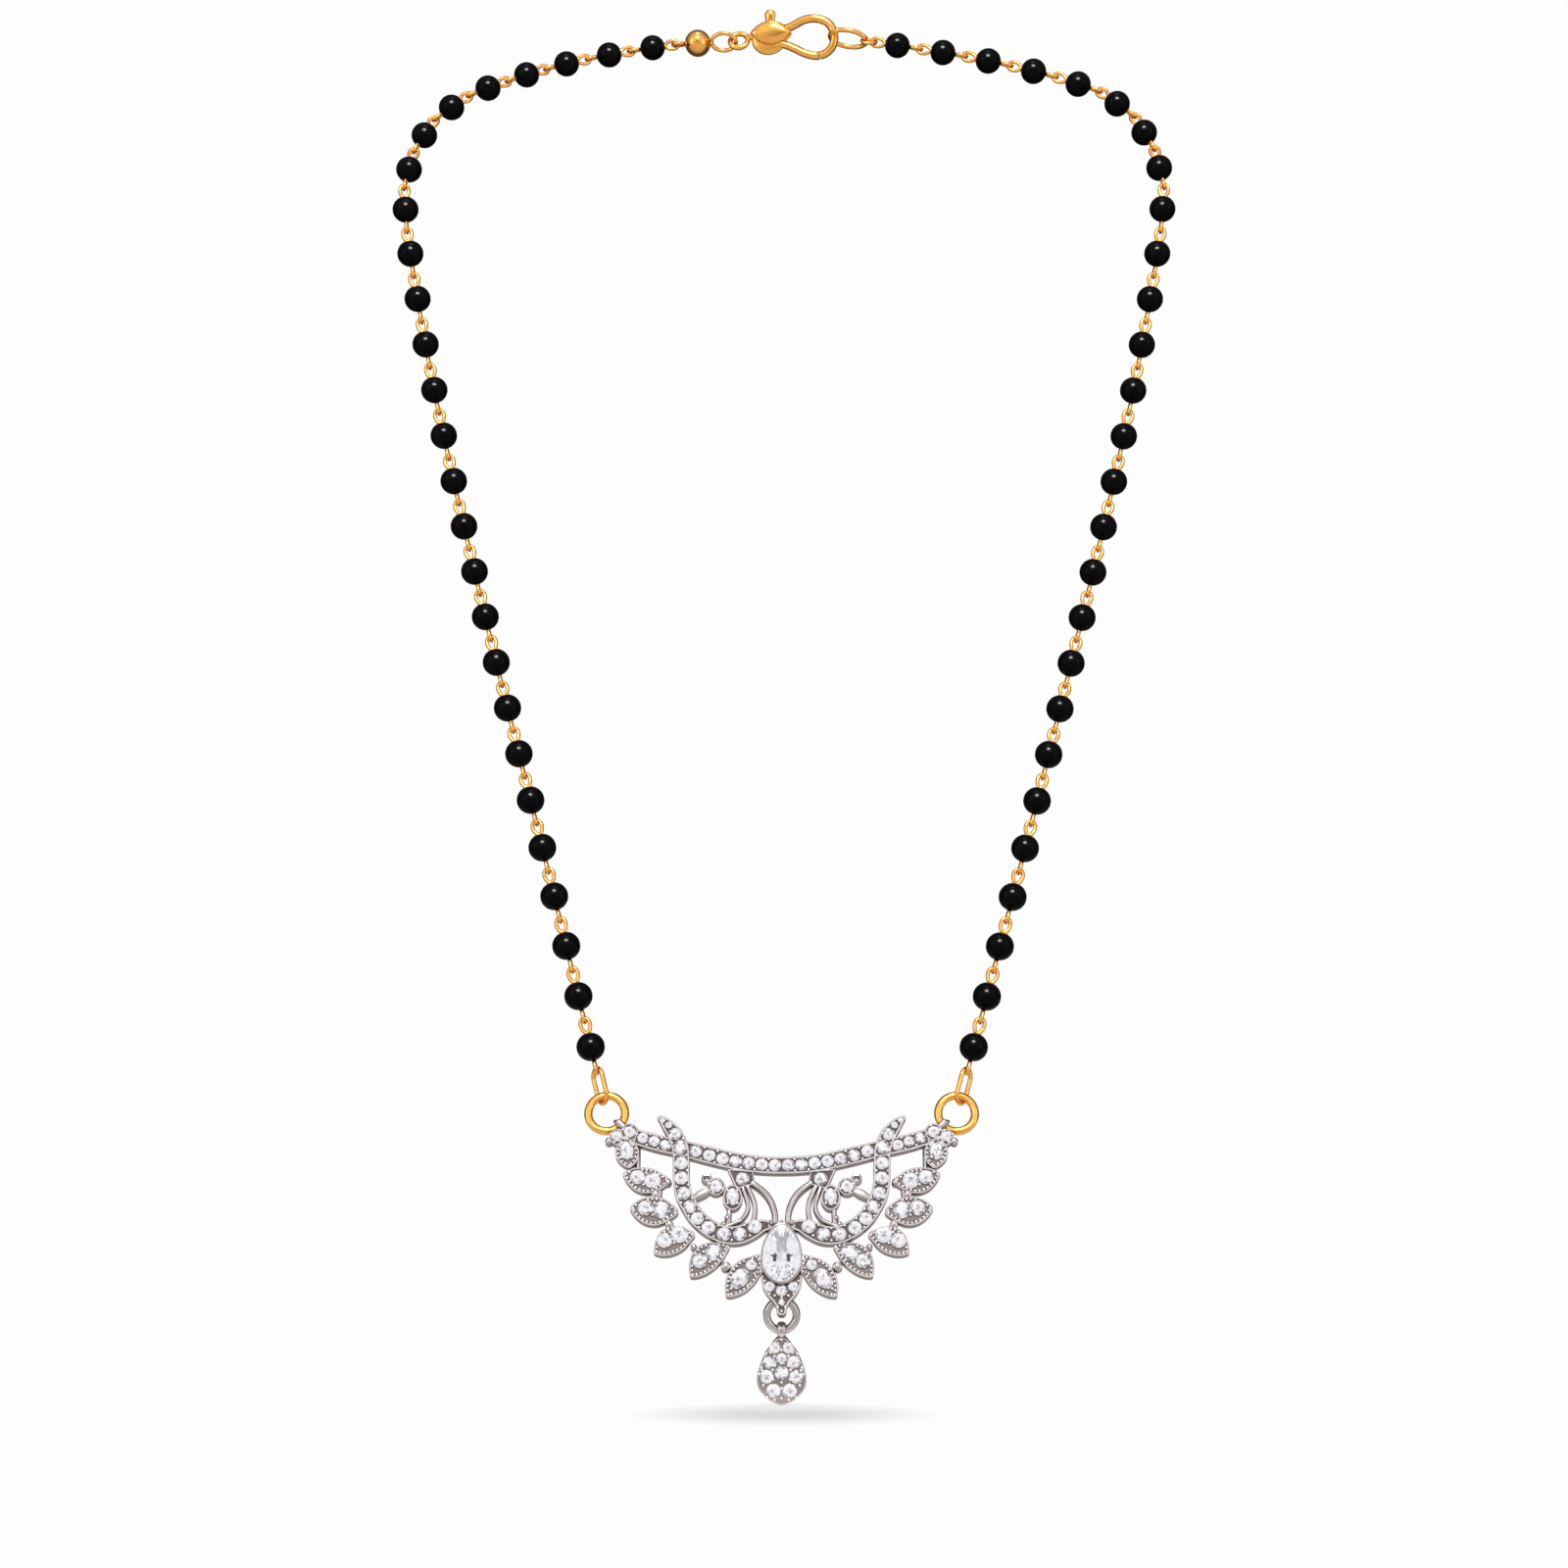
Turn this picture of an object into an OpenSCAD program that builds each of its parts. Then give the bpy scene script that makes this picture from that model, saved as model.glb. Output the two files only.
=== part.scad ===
/* [Bead chain] */
// Diameter of a black bead
bead_d = 3.7; // [3.5:0.1:4.1]
// Bare stretch between two neighbouring beads
bead_gap = 3.26; // [3.2:0.02:3.8]
// Width of the hole through a bead
bead_bore = 0.8; // [0.7:0.05:1.2]
// Thickness of the gold wire in an eye pin
pin_wire = 0.5; // [0.4:0.05:0.55]
// Thickness of an eye pin's straight stem
stem_wire = 0.44; // [0.36:0.02:0.46]
// Outside width of the eye above a bead
top_eye_d = 2.1; // [1.9:0.05:2.3]
// Outside width of the eye below a bead
low_eye_d = 1.85; // [1.8:0.05:2]
// Space left between two linked wires
link_play = 0.12; // [0.1:0.01:0.16]

/* [Side links] */
// Outside diameter of the gold ring at each corner of the pendant
side_ring_d = 5.75; // [5.4:0.05:6.4]
// Wire thickness of that ring
side_ring_wire = 1.05; // [0.8:0.05:1.1]
// Outside length of the oval link above the ring
side_link_l = 5.2; // [4.8:0.1:6.5]
// Outside width of the oval link
side_link_w = 3; // [2.9:0.1:3.4]
// Wire thickness of the oval link
side_link_wire = 0.6; // [0.5:0.05:0.65]
// Turn of the oval link and of the last eye, away from facing the front
side_link_turn = 55; // [50:1:62]

/* [Pendant] */
// Width of the pendant frame over its two corner lobes
pendant_w = 44.4; // [42:0.2:52]
// Thickness of the frame's plate
plate_t = 1.5; // [1.3:0.1:2]
// How far the top of the pendant leans back from upright
pendant_lean = 22; // [14:1:26]
// Height of the collet round the centre stone, above the plate
collet_rise = 0.5; // [0.3:0.1:0.8]
// Share of a stone's width that the hole behind it has
seat_share = 0.78; // [0.7:0.01:0.85]
// Wire thickness of the loops behind the frame
loop_wire = 0.4; // [0.35:0.05:0.6]

/* [Drop] */
// Width of the pear drop
drop_w = 6.2; // [5.8:0.1:8]
// Thickness of the drop's plate
drop_t = 1.4; // [1.2:0.1:1.8]
// Outside diameter of the jump ring that carries the drop
drop_ring_d = 4.7; // [4.5:0.1:5.2]
// Wire thickness of that ring
drop_ring_wire = 1; // [0.8:0.05:1.05]
// Width of the drop's bail
bail_w = 1.2; // [1:0.1:1.4]
// Wall of the bail
bail_wall = 0.32; // [0.26:0.02:0.36]

/* [Clasp] */
// Turn of the clasp line about the upright axis
clasp_turn = 9; // [0:1:12]
// Height of the clasp's own axis above the chain's two ends
clasp_rise = 0.8; // [0.4:0.1:1.6]
// Length of the clasp's almond-shaped cheeks
cheek_l = 6; // [5.8:0.1:6.8]
// Height of the cheeks
cheek_h = 3.5; // [3.3:0.1:4]
// Thickness of one cheek
cheek_t = 0.75; // [0.6:0.05:1]
// Thickness of the lever
lever_t = 0.9; // [0.8:0.05:1.1]
// Running space round the lever
lever_play = 0.1; // [0.08:0.01:0.12]
// Diameter of the rivet that the lever turns on
rivet_d = 1; // [0.8:0.05:1.2]
// Diameter of the lever's hub
hub_d = 4.4; // [4.2:0.1:4.6]
// Inside length of the hook's opening, arm centre to arm centre
hook_l = 7.1; // [6.8:0.1:7.6]
// Height of the hook's opening, arm centre to arm centre
hook_h = 5.8; // [5.4:0.1:6.2]
// Thickness of the hook's arm and of the gate
arm_d = 1.1; // [0.9:0.05:1.15]
// Height of the thumb tab's end above the clasp's axis
tab_reach = 4.5; // [4:0.05:4.8]
// Width of the thumb tab
tab_w = 1.5; // [1.2:0.1:1.8]
// Outside diameter of the clasp's base ring
base_ring_d = 3.35; // [3.1:0.05:3.6]
// Wire thickness of the base ring
base_ring_wire = 0.75; // [0.6:0.05:0.8]
// Diameter of the gold ball
ball_d = 3.8; // [3.4:0.1:4.4]
// Outside length of the long eye between the ball and the base ring
long_eye_l = 4.1; // [3.8:0.1:4.4]
// Outside width of that eye
long_eye_w = 3.3; // [3.1:0.1:3.5]
// Outside length of the oval link in the hook
end_link_l = 6.2; // [5.8:0.1:7]
// Wire thickness of that link
end_link_wire = 0.7; // [0.6:0.05:0.75]
// Outside diameter of the small ring beside it
small_ring_d = 2.6; // [2.5:0.05:3]
// Outside width of the oval link in the hook
end_link_w = 4.3; // [4:0.1:4.6]

/* [Hidden] */

$fn = 48;
GOLD = "goldenrod";
WHITE_GOLD = "lightgray";
CLEAR = "lightcyan";
wire_sides = 8;   // sides of a swept wire
oval_steps = 20;  // rings round a swept oval link
fuse = 0.35;      // how far joined metal runs into its neighbour

// The route of the worn chain over each side of the neck, from the pendant up to the nape
ROUTE = [
    [[-31.5, -53.5, -117.8], [-38.5, -42.8, -93], [-45.2, -33.2, -67.7], [-49.7, -27.5, -48.2],
     [-53.3, -22, -28.5], [-53.2, -18.9, -22], [-51.7, -15.3, -16.4], [-48.3, -11.6, -11.5],
     [-43, -8.6, -8.1], [-32.4, -1.5, -3.1], [-19.7, 3.2, 0.4]],
    [[31.5, -53.5, -117.6], [38.5, -42.7, -92.8], [45.2, -33.2, -67.5], [49.7, -27.5, -47.8],
     [53.3, -22.2, -28], [53.1, -19.4, -21.7], [51.6, -15.9, -15.9], [48.1, -12.4, -11],
     [42.5, -10, -7.7], [29.5, -6.4, -3.6], [16.6, -2.7, -0.6]]];

// The pendant's frame is drawn in its own plane, on a grid of hundredths of its width:
// u outwards from the middle, v up from the bar's middle, all on one side and then mirrored.
grid = pendant_w / 100;
close_gap = grid * 0.3;  // half the widest slit in the frame that is filled
plan_sides = 16;         // sides of the frame's round lobes
pendant_at = [-0.3, -69.4, -156.9];  // the bar's middle, at the front of the plate

// u, v and width along the bar
BAR = [[0, 0.1, 5], [7, 0.4, 5], [13.1, 1.3, 5], [20.7, 3.1, 5], [28, 5, 4.8], [35, 6.6, 4.8], [42, 8.6, 4.6]];
// u, v and width along the band that crosses the bar
BAND = [[35.3, 14.3, 0.8], [33.6, 13, 2.6], [31.9, 11, 3.8], [30.2, 8.6, 4.5], [28.9, 5, 4.8], [28.6, 0.6, 4.8],
    [28.5, -4, 4.8], [27.8, -8.3, 4.8], [26, -12.1, 4.8], [23.7, -15.4, 4.9], [20.4, -18.2, 5],
    [16.2, -20.2, 5.2], [11.8, -20.2, 5.4], [7.8, -18.5, 5], [5.2, -17.6, 3.6], [3.2, -17.6, 2.4]];
// Tip u and v, root u and v, width and camber of each leaf
LEAVES = [[43.2, -0.8, 44.9, 8.8, 6.8, 0], [45.1, -2.4, 31.7, -4.6, 7.6, -0.9], [42.9, -12.5, 29.3, -13.4, 8.5, -0.3],
    [35.9, -25.4, 24.7, -19.7, 8, 1.1], [25.6, -32.2, 14.9, -23, 7.8, 1.3], [15.4, -37.9, 5.4, -26, 7.8, 0.4]];
// Share of a leaf's length from its tip, and share of its width on each side
LEAF = [[0, 0.04], [0.1, 0.24], [0.25, 0.41], [0.4, 0.49], [0.55, 0.5], [0.7, 0.43], [0.85, 0.27], [0.96, 0.14], [1, 0.06]];
// u, v and width along the twig's arm, its stem, the two arcs and the crescent between them
TWIG_ARM = [[19.5, -7.6, 1.6], [22.2, -8.5, 1.5], [25.6, -10.2, 1.8]];
STEM = [[14.8, -12.4, 1.4], [15.1, -18.6, 1.6]];
OUTER_ARC = [[9, -4.6, 1.6], [5.2, -7.4, 1.8], [3, -10.5, 1.8], [1.9, -14, 1.7], [1.9, -17.4, 1.8]];
INNER_ARC = [[9.9, -5.6, 1.2], [7.8, -10.5, 1.4], [7.7, -14.5, 1.4], [8.8, -18, 1.2]];
CRESCENT = [[11.2, -6, 1.2], [9.5, -11.5, 1.3], [10.9, -15.2, 1.2], [13.2, -16.7, 1.2], [16.4, -18, 1.2]];
STRUT = [[41, 6, 1.4], [41, -2.2, 1.4]];
LEAF_STRUT = [[34.6, -6, 1.4], [34.8, -10.4, 1.4]];
// Corners of the kite under the bar
KITE = [[15.4, -1], [8, -1.6], [7.6, -5.4], [12.8, -7]];
// u, v and radius of the small knobs, lobes and joining beads
KNOBS = [[49.3, 7.3, 1.1], [46.7, 8.4, 2.5], [43.5, 9.8, 2.6], [31.3, -4.7, 1.3], [31, -16.4, 1.5],
    [23.9, -21.9, 1.7], [16.2, -28.9, 1.5], [6, -26.9, 1.3], [6.2, -31.2, 1.2]];
// u and v of the round twig collet and its radius, the oval collet's two radii, the knob ring
TWIG = [18.4, -6.3, 2.8];
OVAL = [13.7, -9.4, 3, 4];
KNOB_RING = [21, -3.9, 1.5, 0.55];
// v and half width of the centre collet, from its top to the tip
COLLET = [[-16.2, 1.4], [-18.5, 2.9], [-21, 4.2], [-25, 5.6], [-29, 6.2], [-32, 5.8], [-35, 5.3], [-37.5, 4],
    [-39.3, 2.4], [-41, 1.5], [-42.4, 1.3], [-43.2, 0.7]];
// v and half width of the centre stone
PEAR = [[-17.5, 0.3], [-19.5, 1.9], [-22.5, 3.7], [-26, 5.1], [-29, 5.5], [-31.5, 4.7], [-33.1, 3], [-33.8, 1]];

// u, v and radius of the stones
BAR_STONES = [[1.9, 0.1, 1.7], [5.65, 0.3, 1.7], [9.4, 0.7, 1.7], [13.1, 1.3, 1.7], [16.8, 2, 1.7], [20.6, 3, 1.7],
    [24.5, 4.2, 1.7], [33.3, 6, 1.6], [36.5, 7, 1.5], [39.7, 8, 1.6]];
BAND_STONES = [[34, 13.2, 0.7], [32.3, 11.8, 0.9], [30.5, 9.1, 1.7], [28.9, 5.2, 1.8], [28.6, 0.6, 1.75],
    [28.5, -3.8, 1.8], [27.8, -8.3, 1.85], [26, -12.2, 1.8], [23.8, -15.5, 1.8], [20.7, -18.2, 1.85],
    [16.3, -20.1, 1.9], [11.8, -20.1, 1.8], [7.6, -17.9, 1.9]];
LEAF_STONES = [[41, -3.4, 1.8], [36.9, -4.4, 2], [38.5, -12.4, 1.9], [34.2, -13, 2.1], [33, -21.6, 1.9],
    [28.8, -20.1, 2.2], [23, -27.5, 1.85], [19.2, -25.3, 2.1], [11.8, -32.8, 2.3], [8.5, -28.8, 1.4]];
END_STONES = [[46.9, 8.4, 1.45], [43.5, 9.8, 1.6]];
LEAF_OVAL = [44.1, 3.9, 1.9, 2.6];   // u, v and the two radii of the oval stone in the end leaf
TWIG_STONES = [[18.4, -6.3, 1.8], [11, -4, 1.8]];
TWIG_OVAL = [13.7, -9.4, 1.8, 2.6];
TIP_STONES = [[3.55, -35.3, 1.45], [-3.55, -35.3, 1.45], [0, -36.1, 1.65], [0, -39.7, 1]];
corner_loop_at = [46.6, 13];         // where the side ring's wire runs through the corner loop
corner_lug = [44.5, 10.9, 1];        // foot of the lug under that loop, and its radius
tip_loop_v = -37.9;                  // v of the loop behind the tip
collet_spread = 1.12;                // the centre collet's outline, against its stone's
centre_depth = 2.2;                  // radius that the centre stone's heights are shares of
neck_block = [-2, -17.4, 4, 2.2];    // corner, width and height of the block between the band's ends

// Shares of a cut stone's radius: its table, crown, girdle and pavilion
gem_table = 0.58;
gem_crown = 0.3;
gem_girdle = 0.08;
gem_pavilion = 0.72;
gem_sides = 8;
gem_lift = 0.03;    // air between a stone and the rim of its hole
seat_rise = (1 - seat_share) * gem_pavilion;  // a girdle's height over its plate, as a share of its radius

// The drop is drawn on a grid of hundredths of its width, v down from its bail's axis
drop_grid = drop_w / 100;
DROP = [[-14, 9], [-26, 18.8], [-36, 26], [-46, 32.5], [-66, 41.6], [-86, 48], [-98, 50], [-111, 48.5], [-123, 42.5],
    [-135, 31], [-143, 20], [-149, 5]];
DROP_STONES = [[-14, -31.5, 11.7], [14, -31.5, 11.7], [0, -54.4, 11.7], [-25.4, -63, 11.7], [25.4, -63, 11.7],
    [-31.5, -91, 11.7], [31.5, -91, 11.7], [0, -87.5, 11.7], [-15.8, -120, 11.7], [15.8, -120, 11.7]];

function unit(v) = v / norm(v);

// A smooth curve through the points p, in any number of dimensions
function curve_at(p, i, t) = let(n = len(p) - 1, a = p[max(i - 1, 0)], b = p[i], c = p[i + 1], d = p[min(i + 2, n)])
    (2 * b + (c - a) * t + (2 * a - 5 * b + 4 * c - d) * t * t + (3 * b - a - 3 * c + d) * t * t * t) / 2;
function curve(p, steps) = [for (i = [0:len(p) - 2]) for (k = [0:steps - 1]) curve_at(p, i, k / steps), p[len(p) - 1]];
// Length run at each point of a path
function run(p) = [for (i = 0, s = 0; i < len(p); s = s + (i + 1 < len(p) ? norm(p[i + 1] - p[i]) : 0), i = i + 1) s];
function at_length(p, s, want) = [for (a = [0:2]) lookup(want, [for (i = [0:len(p) - 1]) [s[i], p[i][a]]])];

// Half the distance between the centres of two linked wires
function half_link(wire_a, wire_b) = ((wire_a + wire_b) / 2 + link_play) / 2;

// A point of the pendant's own plane, in the part's frame; w is its height over the plate's front
function on_pendant(u, v, w = 0) = pendant_at
    + [u, v * sin(pendant_lean) - w * cos(pendant_lean), v * cos(pendant_lean) + w * sin(pendant_lean)];

// Corner loops and side rings, on the side s
ring_r = (side_ring_d - side_ring_wire) / 2;
ring_w = -plate_t - side_ring_wire / 2 - link_play;
loop_r = side_ring_wire / 2 + link_play + loop_wire / 2;
corner_loop = grid * corner_loop_at;
side_ring_uv = corner_loop + ring_r * [cos(45), sin(45)];
function side_ring_centre(s) = on_pendant(s * side_ring_uv.x, side_ring_uv.y, ring_w);
function first_point(s) = ROUTE[s < 0 ? 0 : 1][0];
function chain_up(s) = unit(first_point(s) - side_ring_centre(s));
function ring_top(s) = side_ring_centre(s) + ring_r * chain_up(s);
function link_low(s) = ring_top(s) - 2 * half_link(side_ring_wire, side_link_wire) * chain_up(s);
function link_high(s) = link_low(s) + (side_link_l - side_link_wire) * chain_up(s);
function chain_start(s) = link_high(s) - half_link(side_link_wire, pin_wire) * chain_up(s);

// The clasp's line at the nape, with x along it and y up, measured from nape_at
nape_at = [-1.45, 0, 0];   // middle of the clasp and its links
clasp_x = -0.8;            // the rivet's place
base_x = clasp_x - cheek_l / 2 - base_ring_d / 2 + fuse;
base_r = (base_ring_d - base_ring_wire) / 2;
pin_overhang = half_link(pin_wire, pin_wire) + pin_wire / 2;  // how far an eye reaches past its joint
stem_l = (bead_gap - top_eye_d - low_eye_d + 2 * pin_overhang) / 2;
ball_joint = [base_x - base_r + half_link(base_ring_wire, pin_wire), clasp_rise];
ball_overhang = half_link(base_ring_wire, pin_wire) + pin_wire / 2;
ball_pin_l = long_eye_l + ball_d + stem_l + low_eye_d - ball_overhang - pin_overhang;
left_rise = 0.65;   // height of the chain's left end above the nape's level
function down_to(y, from, l, s) = [from.x + s * sqrt(l * l - (from.y - y) * (from.y - y)), y];
nape_left = down_to(left_rise, ball_joint, ball_pin_l, -1);
hook_x = clasp_x + cheek_l / 2 + hook_l / 2;
link_rise = 0.2;    // height of the oval link's end above the clasp's axis
hook_joint = [hook_x + hook_l / 2 - half_link(arm_d, end_link_wire), clasp_rise + link_rise];
end_link_run = end_link_l - end_link_wire - half_link(arm_d, end_link_wire) - half_link(end_link_wire, pin_wire);
small_ring_run = small_ring_d - pin_wire - half_link(end_link_wire, pin_wire) - half_link(pin_wire, pin_wire);
nape_right = down_to(0, hook_joint, end_link_run + small_ring_run, 1);
small_joint = nape_right + small_ring_run * unit(hook_joint - nape_right);
function on_clasp(p) = nape_at + [p.x * cos(clasp_turn), -p.x * sin(clasp_turn), p.y];

// The chain's joints on the side s, the same number of beads on both sides of a like route
function chain_path(s) = curve(concat([chain_start(s)], ROUTE[s < 0 ? 0 : 1],
    [on_clasp(s < 0 ? nape_left : nape_right)]), 16);
function chain_joints(s) = let(p = chain_path(s), r = run(p), l = r[len(r) - 1], n = round(l / (bead_d + bead_gap)))
    [for (k = [0:n]) at_length(p, r, l * k / n)];

// Places children between two joints: z from the low joint to the high one, y away from the front
module between(low, high) {
    z = unit(high - low);
    x = unit(cross([0, 1, 0], z));
    y = cross(z, x);
    multmatrix([[x.x, y.x, z.x, low.x], [x.y, y.y, z.y, low.y], [x.z, y.z, z.z, low.z], [0, 0, 0, 1]]) children();
}

module ring(d, wire) rotate_extrude() translate([(d - wire) / 2, 0]) circle(d = wire);

// A wire along a flat path in the xy plane, with its thickness at each point
module wire(path, thick, closed = false) {
    n = len(path);
    m = wire_sides;
    side = [for (i = [0:n - 1]) let(a = path[closed ? (i + n - 1) % n : max(i - 1, 0)],
        b = path[closed ? (i + 1) % n : min(i + 1, n - 1)], t = unit(b - a)) [t.y, -t.x]];
    points = [for (i = [0:n - 1]) for (j = [0:m - 1]) let(r = thick[i] / 2, q = path[i] + r * cos(360 * j / m) * side[i])
        [q.x, q.y, r * sin(360 * j / m)]];
    walls = [for (i = [0:closed ? n - 1 : n - 2]) for (j = [0:m - 1]) let(k = (i + 1) % n, l = (j + 1) % m)
        [i * m + j, i * m + l, k * m + l, k * m + j]];
    ends = closed ? [] : [[for (j = [m - 1:-1:0]) j], [for (j = [0:m - 1]) (n - 1) * m + j]];
    polyhedron(points, concat(walls, ends), convexity = 4);
}

// A closed oval link of the given outside length and width, with its low end's wire at the origin
module oval_link(l, w, thick) {
    a = (l - w) / 2;
    r = (w - thick) / 2;
    path = [for (k = [0:oval_steps - 1]) let(t = 360 * (k + 0.5) / oval_steps)
        [r * cos(t), r * sin(t) + (sin(t) > 0 ? a : -a) + a + r]];
    rotate([90, 0, 0]) wire(path, [for (p = path) thick], true);
}

// A flat strip along rows of u, v and width, smoothed
module strip(rows, scale_by, s = 1) {
    c = curve([for (r = rows) [s * r[0], r[1], r[2]] * scale_by], 2);
    n = len(c);
    side = [for (i = [0:n - 1]) let(t = unit([for (k = [0, 1]) c[min(i + 1, n - 1)][k] - c[max(i - 1, 0)][k]])) [t.y, -t.x]];
    edge = [for (i = [0:n - 1]) [c[i].x, c[i].y] + side[i] * c[i].z / 2];
    back = [for (i = [n - 1:-1:0]) [c[i].x, c[i].y] - side[i] * c[i].z / 2];
    polygon(concat(edge, back));
}

module leaf_plan(row, s) {
    tip = grid * [s * row[0], row[1]];
    root = grid * [s * row[2], row[3]];
    along = root - tip;
    up = s * unit([along.y, -along.x]);
    function edge(r, side) = tip + r[0] * along
        + grid * (side * r[1] * row[4] + row[5] * 4 * r[0] * (1 - r[0])) * up;
    polygon(concat([for (r = LEAF) edge(r, 1)], [for (i = [len(LEAF) - 1:-1:0]) edge(LEAF[i], -1)]));
}

// A shape that is the same on both sides of its own middle, from rows of v and half width
function both_sides(rows, scale_by) = let(c = curve(rows, 3))
    concat([for (r = c) scale_by * [r[1], r[0]]], [for (i = [len(c) - 1:-1:0]) scale_by * [-c[i][1], c[i][0]]]);

module disc(row, s = 1) translate(grid * [s * row[0], row[1]]) circle(grid * row[2], $fn = plan_sides);
module ellipse(row, s, share = 1) translate(grid * [s * row[0], row[1]])
    polygon([for (k = [0:plan_sides - 1]) let(t = 360 * k / plan_sides)
        grid * share * [row[2] * cos(t), row[3] * sin(t)]]);

module frame_side(s) {
    strip(BAND, grid, s);
    for (row = LEAVES) leaf_plan(row, s);
    for (rows = [TWIG_ARM, STEM, OUTER_ARC, INNER_ARC, CRESCENT, STRUT, LEAF_STRUT]) strip(rows, grid, s);
    polygon([for (p = KITE) grid * [s * p.x, p.y]]);
    for (row = KNOBS) disc(row, s);
    disc(TWIG, s);
    ellipse(OVAL, s);
    disc(KNOB_RING, s);
    strip(BAR, grid, s);
    hull() {
        disc(corner_lug, s);
        disc([corner_loop_at.x, corner_loop_at.y, corner_lug[2]], s);
    }
}

module frame_plan() difference() {
    offset(delta = -close_gap) offset(delta = close_gap) union() {
        frame_side(1);
        frame_side(-1);
        polygon(both_sides(COLLET, grid));
        translate(grid * [neck_block[0], neck_block[1]]) square(grid * [neck_block[2], neck_block[3]]);
    }
    for (s = [-1, 1]) {
        for (row = concat(BAR_STONES, BAND_STONES, LEAF_STONES, END_STONES, TWIG_STONES))
            translate(grid * [s * row[0], row[1]]) circle(grid * row[2] * seat_share);
        ellipse(LEAF_OVAL, s, seat_share);
        ellipse(TWIG_OVAL, s, seat_share);
        translate(grid * [s * KNOB_RING[0], KNOB_RING[1]]) circle(grid * KNOB_RING[3]);
    }
    for (row = TIP_STONES) translate(grid * [row[0], row[1]]) circle(grid * row[2] * seat_share);
    pear_hole();
}

pear_middle = grid * [0, -28];
module pear_hole() translate(pear_middle)
    polygon([for (p = both_sides(PEAR, grid)) (p - pear_middle) * seat_share]);

// A cut stone on an outline round the origin: table, crown, girdle and a pavilion to a point
module gem(outline, r) {
    n = len(outline);
    rise = r * seat_rise + gem_lift;
    level = [rise + r * (gem_girdle + gem_crown), rise + r * gem_girdle, rise];
    share = [gem_table, 1, 1];
    points = concat([for (k = [0:2]) for (p = outline) [p.x * share[k], p.y * share[k], level[k]]],
        [[0, 0, rise - r * gem_pavilion]]);
    walls = [for (k = [0, 1]) for (i = [0:n - 1]) let(j = (i + 1) % n) [k * n + i, k * n + j, (k + 1) * n + j, (k + 1) * n + i]];
    point = [for (i = [0:n - 1]) [2 * n + i, 2 * n + (i + 1) % n, 3 * n]];
    polyhedron(points, concat([[for (i = [n - 1:-1:0]) i]], walls, point));
}

module round_gem(row, scale_by, s = 1) translate(scale_by * [s * row[0], row[1]])
    gem([for (k = [0:gem_sides - 1]) let(t = 360 * (k + 0.5) / gem_sides) scale_by * row[2] * [cos(t), sin(t)]],
        scale_by * row[2]);
module oval_gem(row, s) translate(grid * [s * row[0], row[1]])
    gem([for (k = [0:11]) grid * [row[2] * cos(30 * k), row[3] * sin(30 * k)]], grid * row[2]);

module on_plate() color(CLEAR) translate(pendant_at) rotate([90 - pendant_lean, 0, 0]) children();

module setting() color(WHITE_GOLD) translate(pendant_at) rotate([90 - pendant_lean, 0, 0]) {
    translate([0, 0, -plate_t]) linear_extrude(plate_t) frame_plan();
    translate([0, 0, fuse - plate_t]) linear_extrude(plate_t - fuse + collet_rise) collet_wall();
    for (s = [-1, 1])
        translate([s * corner_loop.x, corner_loop.y, ring_w]) rotate([0, 0, s * 45]) rotate([90, 0, 0])
            ring(2 * loop_r + loop_wire, loop_wire);
    translate([0, grid * tip_loop_v, tip_loop_w]) rotate([0, 90, 0]) ring(2 * tip_loop_r + loop_wire, loop_wire);
}

module collet_wall() difference() {
    intersection() {
        polygon(both_sides(COLLET, grid));
        translate(pear_middle) polygon([for (p = both_sides(PEAR, grid)) (p - pear_middle) * collet_spread]);
    }
    pear_hole();
}

module centre_stone() on_plate() translate([pear_middle.x, pear_middle.y, collet_rise])
    gem([for (p = both_sides(PEAR, grid)) p - pear_middle], centre_depth);
module bar_stones() on_plate() for (s = [-1, 1]) for (row = BAR_STONES) round_gem(row, grid, s);
module band_stones(s) on_plate() for (row = BAND_STONES) round_gem(row, grid, s);
module leaf_stones(s) on_plate() for (row = LEAF_STONES) round_gem(row, grid, s);
module end_stones(s) on_plate() {
    for (row = END_STONES) round_gem(row, grid, s);
    oval_gem(LEAF_OVAL, s);
}
module twig_stones() on_plate() for (s = [-1, 1]) {
    for (row = TWIG_STONES) round_gem(row, grid, s);
    oval_gem(TWIG_OVAL, s);
}
module tip_stones() on_plate() for (row = TIP_STONES) round_gem(row, grid);

// The jump ring hangs upright behind the tip, and the drop upright from the ring
drop_ring_r = (drop_ring_d - drop_ring_wire) / 2;
tip_loop_r = drop_ring_wire / 2 + link_play + loop_wire / 2;
tip_loop_w = -plate_t - drop_ring_wire / 2 - link_play;
ring_hinge = on_pendant(0, grid * tip_loop_v, tip_loop_w);
drop_hinge = ring_hinge - [0, 0, 2 * drop_ring_r];
bail_d = drop_ring_wire + 2 * link_play + 2 * bail_wall;

module drop_ring() color(WHITE_GOLD) translate(ring_hinge - [0, 0, drop_ring_r]) rotate([90, 0, 0])
    ring(drop_ring_d, drop_ring_wire);

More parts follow.
